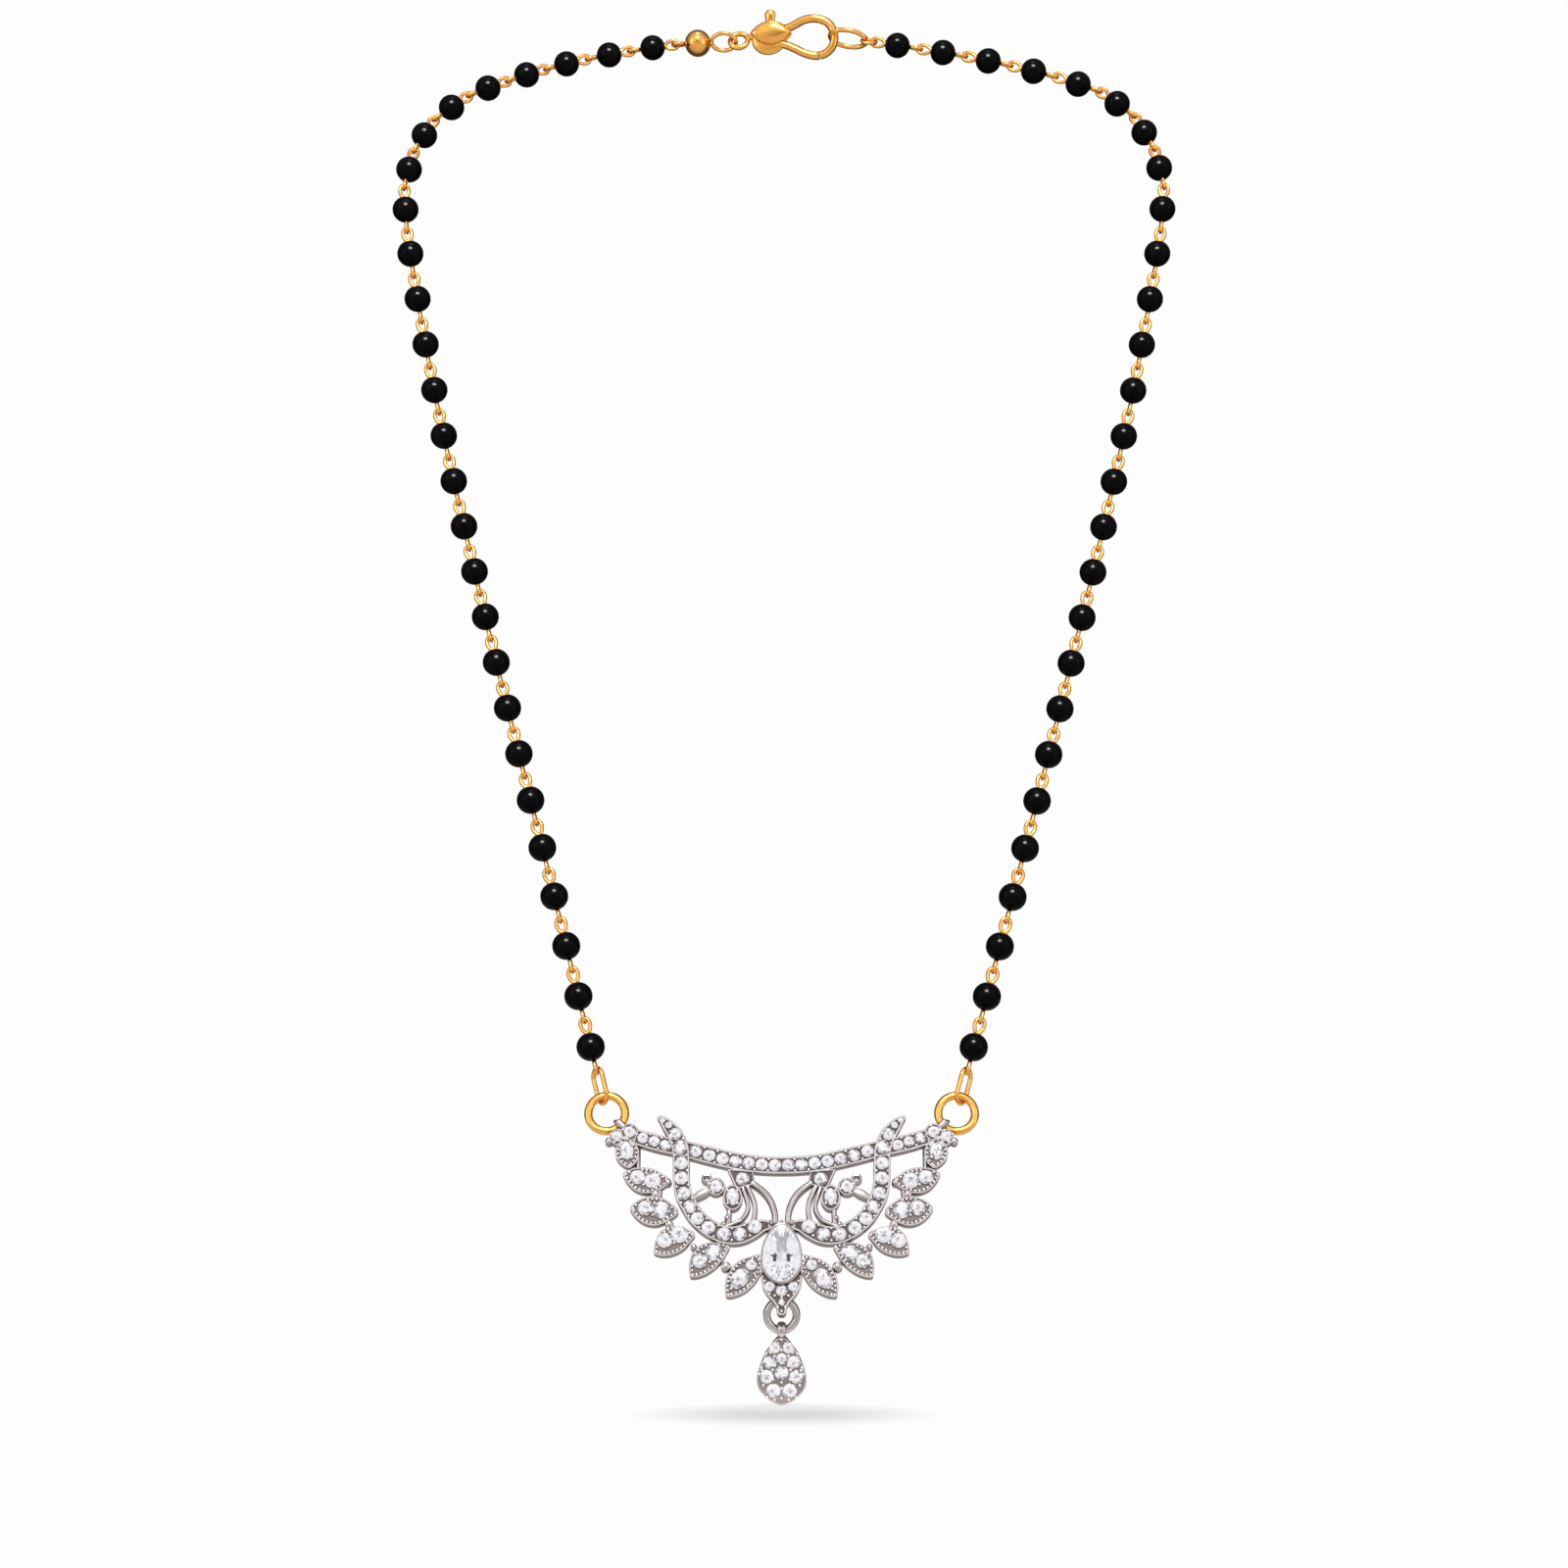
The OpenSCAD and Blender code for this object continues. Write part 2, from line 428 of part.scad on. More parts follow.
drop_front = drop_t / 2;
module on_drop() translate(drop_hinge) rotate([90, 0, 0]) children();
module drop_setting() color(WHITE_GOLD) on_drop() {
    translate([0, 0, -drop_front]) linear_extrude(drop_t) difference() {
        polygon(both_sides(DROP, drop_grid));
        for (row = DROP_STONES) translate(drop_grid * [row[0], row[1]]) circle(drop_grid * row[2] * seat_share);
    }
    difference() {
        rotate([0, 90, 0]) cylinder(d = bail_d, h = bail_w, center = true);
        rotate([0, 90, 0]) cylinder(d = bail_d - 2 * bail_wall, h = 2 * bail_w, center = true);
    }
}
module drop_stones() color(CLEAR) on_drop() translate([0, 0, drop_front])
    for (row = DROP_STONES) round_gem(row, drop_grid);

module side_ring(s) color(GOLD) translate(side_ring_centre(s)) rotate([90 - pendant_lean, 0, 0])
    ring(side_ring_d, side_ring_wire);
module side_link(s) color(GOLD) between(link_low(s), link_high(s))
    rotate([0, 0, s * side_link_turn]) oval_link(side_link_l, side_link_w, side_link_wire);

// An eye pin from its low joint at z = 0 up to its high joint
module eye_pin(l, low_turn) {
    translate([0, 0, low_eye_d / 2 - pin_overhang]) rotate([0, 0, low_turn]) rotate([0, 90, 0]) ring(low_eye_d, pin_wire);
    translate([0, 0, l + pin_overhang - top_eye_d / 2]) rotate([90, 0, 0]) ring(top_eye_d, pin_wire);
    translate([0, 0, low_eye_d - pin_overhang - pin_wire / 2])
        cylinder(d = stem_wire, h = l + 2 * pin_overhang - low_eye_d - top_eye_d + pin_wire);
}
module pins(s) color(GOLD) {
    joints = chain_joints(s);
    for (k = [0:len(joints) - 2]) between(joints[k], joints[k + 1])
        eye_pin(norm(joints[k + 1] - joints[k]), k == 0 ? s * (side_link_turn - 20) : 0);
}
module beads(s) color("black") {
    joints = chain_joints(s);
    for (k = [0:len(joints) - 2]) {
        l = norm(joints[k + 1] - joints[k]);
        between(joints[k], joints[k + 1]) translate([0, 0, (l + low_eye_d - top_eye_d) / 2]) difference() {
            sphere(d = bead_d);
            cylinder(d = bead_bore, h = 2 * bead_d, center = true);
        }
    }
}

// What is at the nape is drawn along the clasp's line
module along(low, high) between([low.x, 0, low.y], [high.x, 0, high.y]) children();
module nape() translate(nape_at) rotate([0, 0, -clasp_turn]) children();
ball_z = low_eye_d - pin_overhang + stem_l + ball_d / 2;
module gold_ball() color(GOLD) nape() along(nape_left, ball_joint) translate([0, 0, ball_z]) difference() {
    sphere(d = ball_d);
    cylinder(d = bead_bore, h = 2 * ball_d, center = true);
}
long_eye_turn = 38;   // the long eye turns one way and the base ring the other, so that they link
base_ring_turn = -27;
module ball_pin() color(GOLD) nape() along(nape_left, ball_joint) {
    translate([0, 0, low_eye_d / 2 - pin_overhang]) rotate([0, 90, 0]) ring(low_eye_d, pin_wire);
    translate([0, 0, low_eye_d - pin_overhang - pin_wire / 2])
        cylinder(d = stem_wire, h = ball_d / 2 + ball_z - low_eye_d + pin_overhang + pin_wire);
    translate([0, 0, ball_z + ball_d / 2 + pin_wire / 2]) rotate([0, 0, long_eye_turn])
        oval_link(long_eye_l, long_eye_w, pin_wire);
}
end_link_turn = 60;    // the oval link turns one way about the chain's line, and the small ring the other
small_ring_turn = 28;
module small_ring() color(GOLD) nape() along(small_joint, nape_right)
    translate([0, 0, small_ring_run / 2]) rotate([0, 0, small_ring_turn]) rotate([0, 90, 0])
        ring(small_ring_d, pin_wire);
module end_link() color(GOLD) nape() along(hook_joint, small_joint) translate([0, 0, -half_link(arm_d, end_link_wire)])
    rotate([0, 0, end_link_turn]) oval_link(end_link_l, end_link_w, end_link_wire);

// The clasp's own plan: x along its line, y up, from the rivet's axis
cheek_up = 0.95;    // how far the cheeks sit above the rivet
root_d = 1.54;      // block between the cheeks that the hook's arm grows from
module lens(l, h) {
    r = (l * l + h * h) / (4 * h);
    intersection() {
        translate([0, h / 2 - r]) circle(r);
        translate([0, r - h / 2]) circle(r);
    }
}
hook_from = 150;    // the fixed arm runs over the top from here
hook_to = -68;      // to its tip here
gate_from = 226;    // the gate runs under the opening from here
gate_to = 285;      // to its end here
GATE_ROOT = [[1.32, -1.1], [2.73, -1.5]];  // where the gate leaves the hub
function hook_point(t) = [hook_x - clasp_x + hook_l / 2 * cos(t), hook_h / 2 * sin(t)];
// The hook's arm, or the gate, along the opening's oval; start is where a gate's path sets out
module arc_arm(from, to, steps, start = []) {
    path = concat(start, [for (k = [0:steps]) hook_point(from + (to - from) * k / steps)]);
    wire(path, [for (k = [0:len(path) - 1]) arm_d * (k == len(path) - 1 ? 0.8 : 1)]);
}
module cheek_plan() hull() {
    translate([0, cheek_up]) lens(cheek_l, cheek_h);
    translate(hook_point(hook_from)) circle(d = arm_d);
}
module on_rivet() nape() rotate([90, 0, 0]) translate([clasp_x, clasp_rise, 0]) children();
gap_t = lever_t + 2 * lever_play;
module clasp_body() color(GOLD) on_rivet() {
    difference() {
        translate([0, 0, -gap_t / 2 - cheek_t]) linear_extrude(gap_t + 2 * cheek_t) cheek_plan();
        translate([0, 0, -gap_t / 2]) linear_extrude(gap_t) difference() {
            square(4 * cheek_l, center = true);
            translate([-cheek_l, -cheek_l / 2]) square([cheek_l - hub_d / 2 - 2 * lever_play, cheek_l]);
            translate(hook_point(hook_from)) circle(d = root_d);
        }
    }
    cylinder(d = rivet_d, h = gap_t + cheek_t, center = true);
    arc_arm(hook_from, hook_to, 14);
    translate([base_x - clasp_x, 0, 0]) rotate([base_ring_turn, 0, 0]) ring(base_ring_d, base_ring_wire);
}
module clasp_lever() color(GOLD) on_rivet() difference() {
    union() {
        cylinder(d = hub_d, h = lever_t, center = true);
        translate([-tab_w / 2, 0, -lever_t / 2]) cube([tab_w, tab_reach - tab_w / 2, lever_t]);
        translate([0, tab_reach - tab_w / 2, 0]) cylinder(d = tab_w, h = lever_t, center = true);
        arc_arm(gate_from, gate_to, 5, GATE_ROOT);
    }
    cylinder(d = rivet_d + 2 * lever_play, h = 2 * lever_t, center = true);
}

setting();
centre_stone();
bar_stones();
band_stones(-1);  // band_stones_left
band_stones(1);  // band_stones_right
leaf_stones(-1);  // leaf_stones_left
leaf_stones(1);  // leaf_stones_right
end_stones(-1);  // end_stones_left
end_stones(1);  // end_stones_right
twig_stones();
tip_stones();
drop_ring();
drop_setting();
drop_stones();
side_ring(-1);  // side_ring_left
side_ring(1);  // side_ring_right
side_link(-1);  // side_link_left
side_link(1);  // side_link_right
beads(-1);  // beads_left
beads(1);  // beads_right
pins(-1);  // pins_left
pins(1);  // pins_right
gold_ball();
ball_pin();
clasp_body();
clasp_lever();
end_link();
small_ring();
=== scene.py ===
# The view.
# One long lens looks straight at the necklace from chest height.
# Sizes are written in millimetres, and a mesh is made in metres in the necklace's own frame.
import math
import random

import bmesh
import bpy
import numpy as np
from mathutils import Matrix, Vector


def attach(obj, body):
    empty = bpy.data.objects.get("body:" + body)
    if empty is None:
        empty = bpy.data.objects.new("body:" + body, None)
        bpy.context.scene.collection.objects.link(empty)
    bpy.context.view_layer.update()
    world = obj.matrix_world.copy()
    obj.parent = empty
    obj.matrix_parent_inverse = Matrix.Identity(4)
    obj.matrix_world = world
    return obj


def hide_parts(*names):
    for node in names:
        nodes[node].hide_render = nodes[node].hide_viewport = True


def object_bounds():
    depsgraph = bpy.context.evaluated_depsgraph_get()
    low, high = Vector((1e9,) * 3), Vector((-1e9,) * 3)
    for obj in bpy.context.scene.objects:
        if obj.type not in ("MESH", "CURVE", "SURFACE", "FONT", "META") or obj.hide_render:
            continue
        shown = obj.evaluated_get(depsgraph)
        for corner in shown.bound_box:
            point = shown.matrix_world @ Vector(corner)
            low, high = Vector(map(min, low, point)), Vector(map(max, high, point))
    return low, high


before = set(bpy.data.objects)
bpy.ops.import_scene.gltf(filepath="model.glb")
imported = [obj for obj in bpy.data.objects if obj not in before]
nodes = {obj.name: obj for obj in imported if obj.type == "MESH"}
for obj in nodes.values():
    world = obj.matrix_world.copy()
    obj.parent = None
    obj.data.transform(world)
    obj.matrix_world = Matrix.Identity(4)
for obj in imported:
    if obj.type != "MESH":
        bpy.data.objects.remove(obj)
cad_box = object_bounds()
MM = 0.001

CAMERA_AT = (0.0, -490.7, -108.7)
LENS = 76.55
SENSOR = 36.0
NEAREST, FURTHEST = 0.01, 20


def link_up(name, data):
    """An object at the origin for a camera, a lamp, or a mesh already in its place, in metres."""
    made = bpy.data.objects.new(name, data)
    bpy.context.collection.objects.link(made)
    return made


view = bpy.data.cameras.new("view")
view.lens = LENS
view.sensor_width = SENSOR
view.clip_start = NEAREST
view.clip_end = FURTHEST
camera = link_up("camera", view)
camera.location = [c * MM for c in CAMERA_AT]
camera.rotation_euler = (math.radians(90), 0, 0)
bpy.context.scene.camera = camera
bpy.context.scene.view_settings.view_transform = "Standard"


class Shade:
    """The value that a node gives: Python's signs on it add Math nodes, node() adds any other."""

    def __init__(self, tree, socket):
        self.tree = tree
        self.socket = socket

    def maths(self, how, a, b):
        return node(self.tree, "ShaderNodeMath", {"operation": how}, {0: a, 1: b})

    def __add__(self, other):
        return self.maths("ADD", self, other)

    def __radd__(self, other):
        return self.maths("ADD", other, self)

    def __sub__(self, other):
        return self.maths("SUBTRACT", self, other)

    def __rsub__(self, other):
        return self.maths("SUBTRACT", other, self)

    def __mul__(self, other):
        return self.maths("MULTIPLY", self, other)

    def __rmul__(self, other):
        return self.maths("MULTIPLY", other, self)


def node(tree, kind, settings=None, values=None, out=0):
    """Adds one node: its settings first, then the values or links of its sockets."""
    new = tree.nodes.new(kind)
    for name, value in (settings or {}).items():
        setattr(new, name, value)
    for key, value in (values or {}).items():
        if isinstance(value, Shade):
            tree.links.new(value.socket, new.inputs[key])
        else:
            new.inputs[key].default_value = value
    return Shade(tree, new.outputs[out]) if new.outputs else None


def ramp(tree, at, stops):
    """The colour at a value, from rows of value and colour."""
    new = tree.nodes.new("ShaderNodeValToRGB")
    elements = new.color_ramp.elements
    while len(elements) < len(stops):
        elements.new(0.5)
    for element, (value, colour) in zip(elements, stops):
        element.position = value
        element.color = (*colour, 1)
    tree.links.new(at.socket, new.inputs[0])
    return Shade(tree, new.outputs[0])


def finish(name, build):
    """A material on one Principled shader: build(tree) gives the shader's values and links."""
    made = bpy.data.materials.new(name)
    made.use_nodes = True
    tree = made.node_tree
    tree.nodes.clear()
    shader = node(tree, "ShaderNodeBsdfPrincipled", None, build(tree))
    node(tree, "ShaderNodeOutputMaterial", None, {"Surface": shader})
    return made


# The studio.
# White light from the front and from above, shade behind and just round the lens, so that polished
# metal has both to mirror, and a pale floor just under the drop.
FRONT = (0, -0.96, 0.28)
TO_LENS = (0, -1, 0)
ROOM_LIGHT = 1.0
BACKDROP = 0.983

world = bpy.data.worlds.new("studio")
world.use_nodes = True
sky = world.node_tree
sky.nodes.clear()
direction = node(sky, "ShaderNodeTexCoord", None, None, "Generated")
towards = node(sky, "ShaderNodeVectorMath", {"operation": "DOT_PRODUCT"},
               {0: direction, 1: FRONT}, "Value")
sky_tone = ramp(sky, towards * 0.5 + 0.5, [
    (0.0, (0.07, 0.06, 0.055)),
    (0.22, (0.12, 0.105, 0.10)),
    (0.50, (0.36, 0.345, 0.34)),
    (0.74, (0.95, 0.94, 0.935)),
    (0.92, (1.1, 1.1, 1.1)),
    (0.98, (1.7, 1.7, 1.7)),
])
lens_side = node(sky, "ShaderNodeVectorMath", {"operation": "DOT_PRODUCT"},
                 {0: direction, 1: TO_LENS}, "Value")
lens_shade = ramp(sky, lens_side, [
    (0.82, (1.0, 1.0, 1.0)),
    (0.95, (0.40, 0.40, 0.40)),
    (1.0, (0.25, 0.25, 0.25)),
])
seen = node(sky, "ShaderNodeLightPath", None, None, "Is Camera Ray")
backdrop_light = node(sky, "ShaderNodeBackground", None,
                      {"Color": (BACKDROP, BACKDROP, BACKDROP, 1), "Strength": 1.0})
shaded = node(sky, "ShaderNodeMix", {"data_type": "RGBA", "blend_type": "MULTIPLY"},
              {0: 1.0, 6: sky_tone, 7: lens_shade}, 2)
room_light = node(sky, "ShaderNodeBackground", None, {"Color": shaded, "Strength": ROOM_LIGHT})
node(sky, "ShaderNodeOutputWorld", None, {
    "Surface": node(sky, "ShaderNodeMixShader", None, {0: seen, 1: room_light, 2: backdrop_light})})
bpy.context.scene.world = world

# name, place, point it is aimed at, width and depth, power in watts
SOFT_BOXES = [
    ("overhead", (0, -90, 560), (0, -60, -110), (200, 160), 0.45),
    ("key", (-20, -437, 367), (0, -60, -110), (200, 120), 1.5),
    ("left_front", (-620, -420, 120), (0, -40, -110), (160, 500), 0.5),
    ("right_front", (620, -420, 60), (0, -40, -110), (120, 500), 0.35),
]


def soft_box(name, at, aim, size, power):
    """A rectangular lamp of a size in millimetres, which shines from one point at another."""
    lamp = bpy.data.lights.new(name, "AREA")
    lamp.shape = "RECTANGLE"
    lamp.size = size[0] * MM
    lamp.size_y = size[1] * MM
    lamp.energy = power
    box = link_up(name, lamp)
    box.location = [c * MM for c in at]
    box.rotation_euler = (Vector(aim) - Vector(at)).to_track_quat("-Z", "Y").to_euler()
    return box


for row in SOFT_BOXES:
    soft_box(*row)

FLOOR_GAP = 0.15
FLOOR_R = 2600.0
FLOOR_SIDES = 64
floor_z = cad_box[0][2] / MM - FLOOR_GAP
floor_edge = []
for k in range(FLOOR_SIDES):
    turn = k * math.tau / FLOOR_SIDES
    floor_edge.append((FLOOR_R * MM * math.cos(turn), FLOOR_R * MM * math.sin(turn), floor_z * MM))
floor_mesh = bpy.data.meshes.new("floor")
floor_mesh.from_pydata(floor_edge, [], [list(range(FLOOR_SIDES))])
floor = link_up("floor", floor_mesh)

# The floor glows as plainly as the backdrop, but for a patch of paper under the drop, which takes
# real shade and is also painted darker than the backdrop: a painted shadow. The patch fades out
# between two distances, in metres, and is squeezed in depth.
UNDER_DROP_Y = -0.080
PAPER_LIT = 0.004
PAPER_PLAIN = 0.019
PAPER_DEEP = 2.5
FLOOR_WHITE = 0.66
# For all but the lens the floor glows pale before the chain and darker towards the back, a
# painted reflection that the polished metal mirrors
MIRROR_RUN = 6.0
MIRROR_MIDDLE = 0.4


def floor_with_painted_shadow(tree):
    place = node(tree, "ShaderNodeTexCoord", None, None, "Object")
    squeezed = node(tree, "ShaderNodeVectorMath", {"operation": "MULTIPLY"},
                    {0: place, 1: (1, PAPER_DEEP, 1)})
    from_drop = node(tree, "ShaderNodeVectorMath", {"operation": "DISTANCE"},
                     {0: squeezed, 1: (0, UNDER_DROP_Y * PAPER_DEEP, floor_z * MM)}, "Value")
    # Painted shadow: under the drop the glow is left out and the paper's white is kept below the
    # backdrop's.
    glow_round_painted_shadow = ramp(tree, from_drop, [
        (PAPER_LIT, (0, 0, 0)),
        (PAPER_PLAIN, (BACKDROP, BACKDROP, BACKDROP)),
    ])
    paper_in_painted_shadow = ramp(tree, from_drop, [
        (PAPER_LIT, (FLOOR_WHITE, FLOOR_WHITE, FLOOR_WHITE)),
        (PAPER_PLAIN, (0, 0, 0)),
    ])
    looked_at = node(tree, "ShaderNodeLightPath", None, None, "Is Camera Ray")
    depth = node(tree, "ShaderNodeSeparateXYZ", None, {0: place}, "Y")
    # Painted reflection: the glow that the floor shows to every ray but the lens's.
    painted_reflection_glow = ramp(tree, depth * MIRROR_RUN + MIRROR_MIDDLE, [
        (0.0, (0.82, 0.795, 0.78)),
        (1.0, (0.10, 0.088, 0.083)),
    ])
    return {
        "Base Color": paper_in_painted_shadow,
        "Roughness": 1.0,
        "Specular IOR Level": 0.0,
        "Emission Color": node(tree, "ShaderNodeMix", {"data_type": "RGBA"},
                               {0: looked_at, 6: painted_reflection_glow, 7: glow_round_painted_shadow}, 2),
        "Emission Strength": 1.0,
    }


floor_mesh.materials.append(finish("pale_floor", floor_with_painted_shadow))


# The black beads.
# Round beads of polished black glass, each pierced through its middle. A bead is held by the eye
# pin that runs through it, because the pin's eyes are wider than the bore.
BEAD_BORE = 0.7
BEAD_ROWS = 14
BEAD_SIDES = 28


def solids(cad_node):
    """The loose solids of a CAD node, each as its corner points in millimetres."""
    mesh = nodes[cad_node].data
    points = np.empty(len(mesh.vertices) * 3)
    mesh.vertices.foreach_get("co", points)
    points = points.reshape(-1, 3) / MM
    places, same = np.unique(np.round(points, 4), axis=0, return_inverse=True)
    same = same.reshape(-1)
    mesh.calc_loop_triangles()
    corners = np.empty(len(mesh.loop_triangles) * 3, dtype=np.int64)
    mesh.loop_triangles.foreach_get("vertices", corners)
    corners = same[corners].reshape(-1, 3)
    group = np.arange(len(places))
    while True:
        lowest = group[corners].min(axis=1)
        new = group.copy()
        for k in range(3):
            np.minimum.at(new, corners[:, k], lowest)
        new = new[new]
        if (new == group).all():
            break
        group = new
    return [places[group == g] for g in np.unique(group)]


def middle_of(points):
    """The middle of the box that points fill."""
    return (points.min(axis=0) + points.max(axis=0)) / 2


def unit(v):
    return np.asarray(v) / np.linalg.norm(v)


def in_part(plan, point):
    """A point of a plan, or an axis through its 3 x 3 matrix, in the part's frame."""
    return np.array(plan @ Vector(point)) / MM


def open_tree(name, inputs, result):
    """A new Geometry Nodes tree, and the values of its named inputs."""
    tree = bpy.data.node_groups.new(name, "GeometryNodeTree")
    for key, kind in inputs.items():
        tree.interface.new_socket(key, in_out="INPUT", socket_type="NodeSocket" + kind)
    tree.interface.new_socket(result, in_out="OUTPUT", socket_type="NodeSocketGeometry")
    given = tree.nodes.new("NodeGroupInput")
    return tree, {key: Shade(tree, given.outputs[key]) for key in inputs}


def close_tree(tree, shape, coat):
    """The end of a tree: what it made becomes one real mesh and takes its finish."""
    real = node(tree, "GeometryNodeRealizeInstances", None, {0: shape})
    coated = node(tree, "GeometryNodeSetMaterial", None, {"Geometry": real, "Material": coat})
    node(tree, "NodeGroupOutput", None, {0: coated})
    return tree


def string_tree():
    """Geometry Nodes: one piece on every point, turned to the point's own axes and sized."""
    tree, given = open_tree("strung pieces", {
        "Places": "Geometry", "Piece": "Object", "Finish": "Material", "Size": "Float"}, "Pieces")
    piece = node(tree, "GeometryNodeObjectInfo", None, {"Object": given["Piece"]}, "Geometry")
    own = {}
    for key, kind in (("along", "FLOAT_VECTOR"), ("across", "FLOAT_VECTOR"), ("size", "FLOAT")):
        own[key] = node(tree, "GeometryNodeInputNamedAttribute", {"data_type": kind}, {"Name": key},
                        "Attribute")
    turn = node(tree, "FunctionNodeAxesToRotation", {"primary_axis": "Z", "secondary_axis": "X"},
                {0: own["along"], 1: own["across"]})
    put = node(tree, "GeometryNodeInstanceOnPoints", None, {
        "Points": given["Places"],
        "Instance": piece,
        "Rotation": turn,
        "Scale": own["size"] * given["Size"],
    }, "Instances")
    return close_tree(tree, put, given["Finish"])


STRUNG = string_tree()


def run_tree(name, start, tree, values):
    """Runs a Geometry Nodes tree on a mesh or a curve and keeps its result as a plain mesh."""
    holder = link_up(start.name, start)
    step = holder.modifiers.new("made", "NODES")
    step.node_group = tree
    for item in tree.interface.items_tree:
        if item.in_out == "INPUT" and item.name in values:
            step[item.identifier] = values[item.name]
    shown = holder.evaluated_get(bpy.context.evaluated_depsgraph_get())
    mesh = bpy.data.meshes.new_from_object(shown)
    holder.modifiers.remove(step)
    bpy.data.objects.remove(holder)
    mesh.name = name
    return link_up(name, mesh)


def strung(name, places, piece, coat):
    """One mesh of a piece repeated at places: rows of (point, along, across, size)."""
    points = bpy.data.meshes.new(name + "_places")
    points.from_pydata([tuple(np.asarray(p[0]) * MM) for p in places], [], [])
    for column, key in ((1, "along"), (2, "across")):
        layer = points.attributes.new(key, "FLOAT_VECTOR", "POINT")
        layer.data.foreach_set("vector", np.array([p[column] for p in places], dtype=float).ravel())
    layer = points.attributes.new("size", "FLOAT", "POINT")
    layer.data.foreach_set("value", np.array([p[3] for p in places], dtype=float))
    return run_tree(name, points, STRUNG, {"Piece": piece, "Finish": coat, "Size": 1.0})


def bridged(shape, low, high):
    """The faces between two closed rings of corners, or between a ring and a pole."""
    count = max(len(low), len(high))
    faces = []
    for k in range(count):
        j = (k + 1) % count
        corners = [low[k % len(low)], low[j % len(low)], high[j % len(high)], high[k % len(high)]]
        faces.append(shape.faces.new(list(dict.fromkeys(corners))))
    return faces


def kept_mesh(name, shape):
    """The mesh of a shape that is finished."""
    mesh = bpy.data.meshes.new(name)
    shape.to_mesh(mesh)
    shape.free()
    return mesh


def turned(name, rows, sides):
    """A shape turned on a lathe from rows of radius and height, closed at its poles."""
    shape = bmesh.new()
    rings = []
    for r, z in rows:
        if r < 1e-6:
            rings.append([shape.verts.new((0, 0, z * MM))])
            continue
        ring = []
        for k in range(sides):
            turn = k * math.tau / sides
            ring.append(shape.verts.new((r * MM * math.cos(turn), r * MM * math.sin(turn), z * MM)))
        rings.append(ring)
    bored = len(rings[0]) > 1
    for low, high in zip(rings, rings[1:] + (rings[:1] if bored else [])):
        bridged(shape, low, high)
    for face in shape.faces:
        face.smooth = True
    return kept_mesh(name, shape)


def bored_rows(across, along, bore, steps):
    """Lathe rows of a pierced bead, from its radii across and along the bore and the bore's own."""
    start = math.asin(bore / across)
    turns = (start + (math.pi - 2 * start) * k / steps for k in range(steps + 1))
    return [(across * math.sin(a), -along * math.cos(a)) for a in turns]


def mottle(tree, scale, detail):
    """Noise over the piece itself; a higher scale is finer."""
    place = node(tree, "ShaderNodeTexCoord", None, None, "Object")
    return node(tree, "ShaderNodeTexNoise", None,
                {"Vector": place, "Scale": scale, "Detail": detail})


def black_glass(tree):
    smear = mottle(tree, 900.0, 2.0)
    return {
        "Base Color": (0.0004, 0.0004, 0.0005, 1),
        "Roughness": 0.16 + smear * 0.05,
        "IOR": 1.16,
        "Specular IOR Level": 0.3,
    }


bead_d = min(max(s.max(axis=0) - s.min(axis=0)) for s in solids("beads_left"))
bead_r = bead_d / 2
bead_rows = bored_rows(bead_r, bead_r, BEAD_BORE / 2, BEAD_ROWS)
bead = link_up("one_bead", turned("one_bead", bead_rows, BEAD_SIDES))
bead_finish = finish("black_glass", black_glass)


def pin_lines(side):
    """Each eye pin's low end, high end and the bead on it, from the CAD solids of one side."""
    beads = [middle_of(points) for points in solids("beads_" + side)]
    rows = []
    for points in solids("pins_" + side):
        middle = middle_of(points)
        centre = min(beads, key=lambda b: np.linalg.norm(b - middle))
        spread = np.cov((points - points.mean(axis=0)).T)
        along = np.linalg.eigh(spread)[1][:, 2]
        reach = (points - centre) @ along
        ends = [centre + along * reach.min(), centre + along * reach.max()]
        ends.sort(key=np.linalg.norm, reverse=True)
        rows.append((ends[0], ends[1], centre))
    return rows


def facing(along):
    """The sideways axis of a chain unit: level with the view, square to the chain."""
    return unit(np.cross((0, 1, 0), along))


chain = {side: pin_lines(side) for side in ("left", "right")}
places = {side: [(c, unit(high - low), facing(high - low), 1.0) for low, high, c in rows]
          for side, rows in chain.items()}
glint_on = bpy.data.collections.new("black_beads")
for side in chain:
    beads = strung("black_beads_" + side, places[side], bead, bead_finish)
    glint_on.objects.link(beads)
    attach(beads, "necklace")
    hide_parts("beads_" + side)
bpy.data.objects.remove(bead)
# A small bright box for the beads alone, which gives each its one soft spot of light.
BEAD_GLINT = ("bead_glint", (-10, -450, 370), (0, -20, -60), (220, 160), 19.0)
glint = soft_box(*BEAD_GLINT)
glint.light_linking.receiver_collection = glint_on


# The eye pins.
# Yellow gold plated wire, bent into a pointed eye at both ends of each bead. Every eye holds the
# next bead's eye, which is turned a quarter round.
PIN_WIRE = 0.52
TOP_EYE_W = 2.0
LOW_EYE_W = 1.75
TOP_EYE_POINT = 0.55
LOW_EYE_POINT = 0.5
EYE_SINK = 0.05
SHANK_OUT = 0.15
EYE_POINTS = 14


def wire_tree():
    """Geometry Nodes: round wire drawn along curves, with its thickness and sides as inputs."""
    tree, given = open_tree("drawn wire", {
        "Path": "Geometry", "Thickness": "Float", "Sides": "Int", "Finish": "Material"}, "Wire")
    round_bar = node(tree, "GeometryNodeCurvePrimitiveCircle", None,
                     {"Resolution": given["Sides"], "Radius": given["Thickness"] * 0.5})
    drawn = node(tree, "GeometryNodeCurveToMesh", None,
                 {"Curve": given["Path"], "Profile Curve": round_bar, "Fill Caps": True})
    polished = node(tree, "GeometryNodeSetShadeSmooth", None, {"Geometry": drawn})
    return close_tree(tree, polished, given["Finish"])


DRAWN = wire_tree()


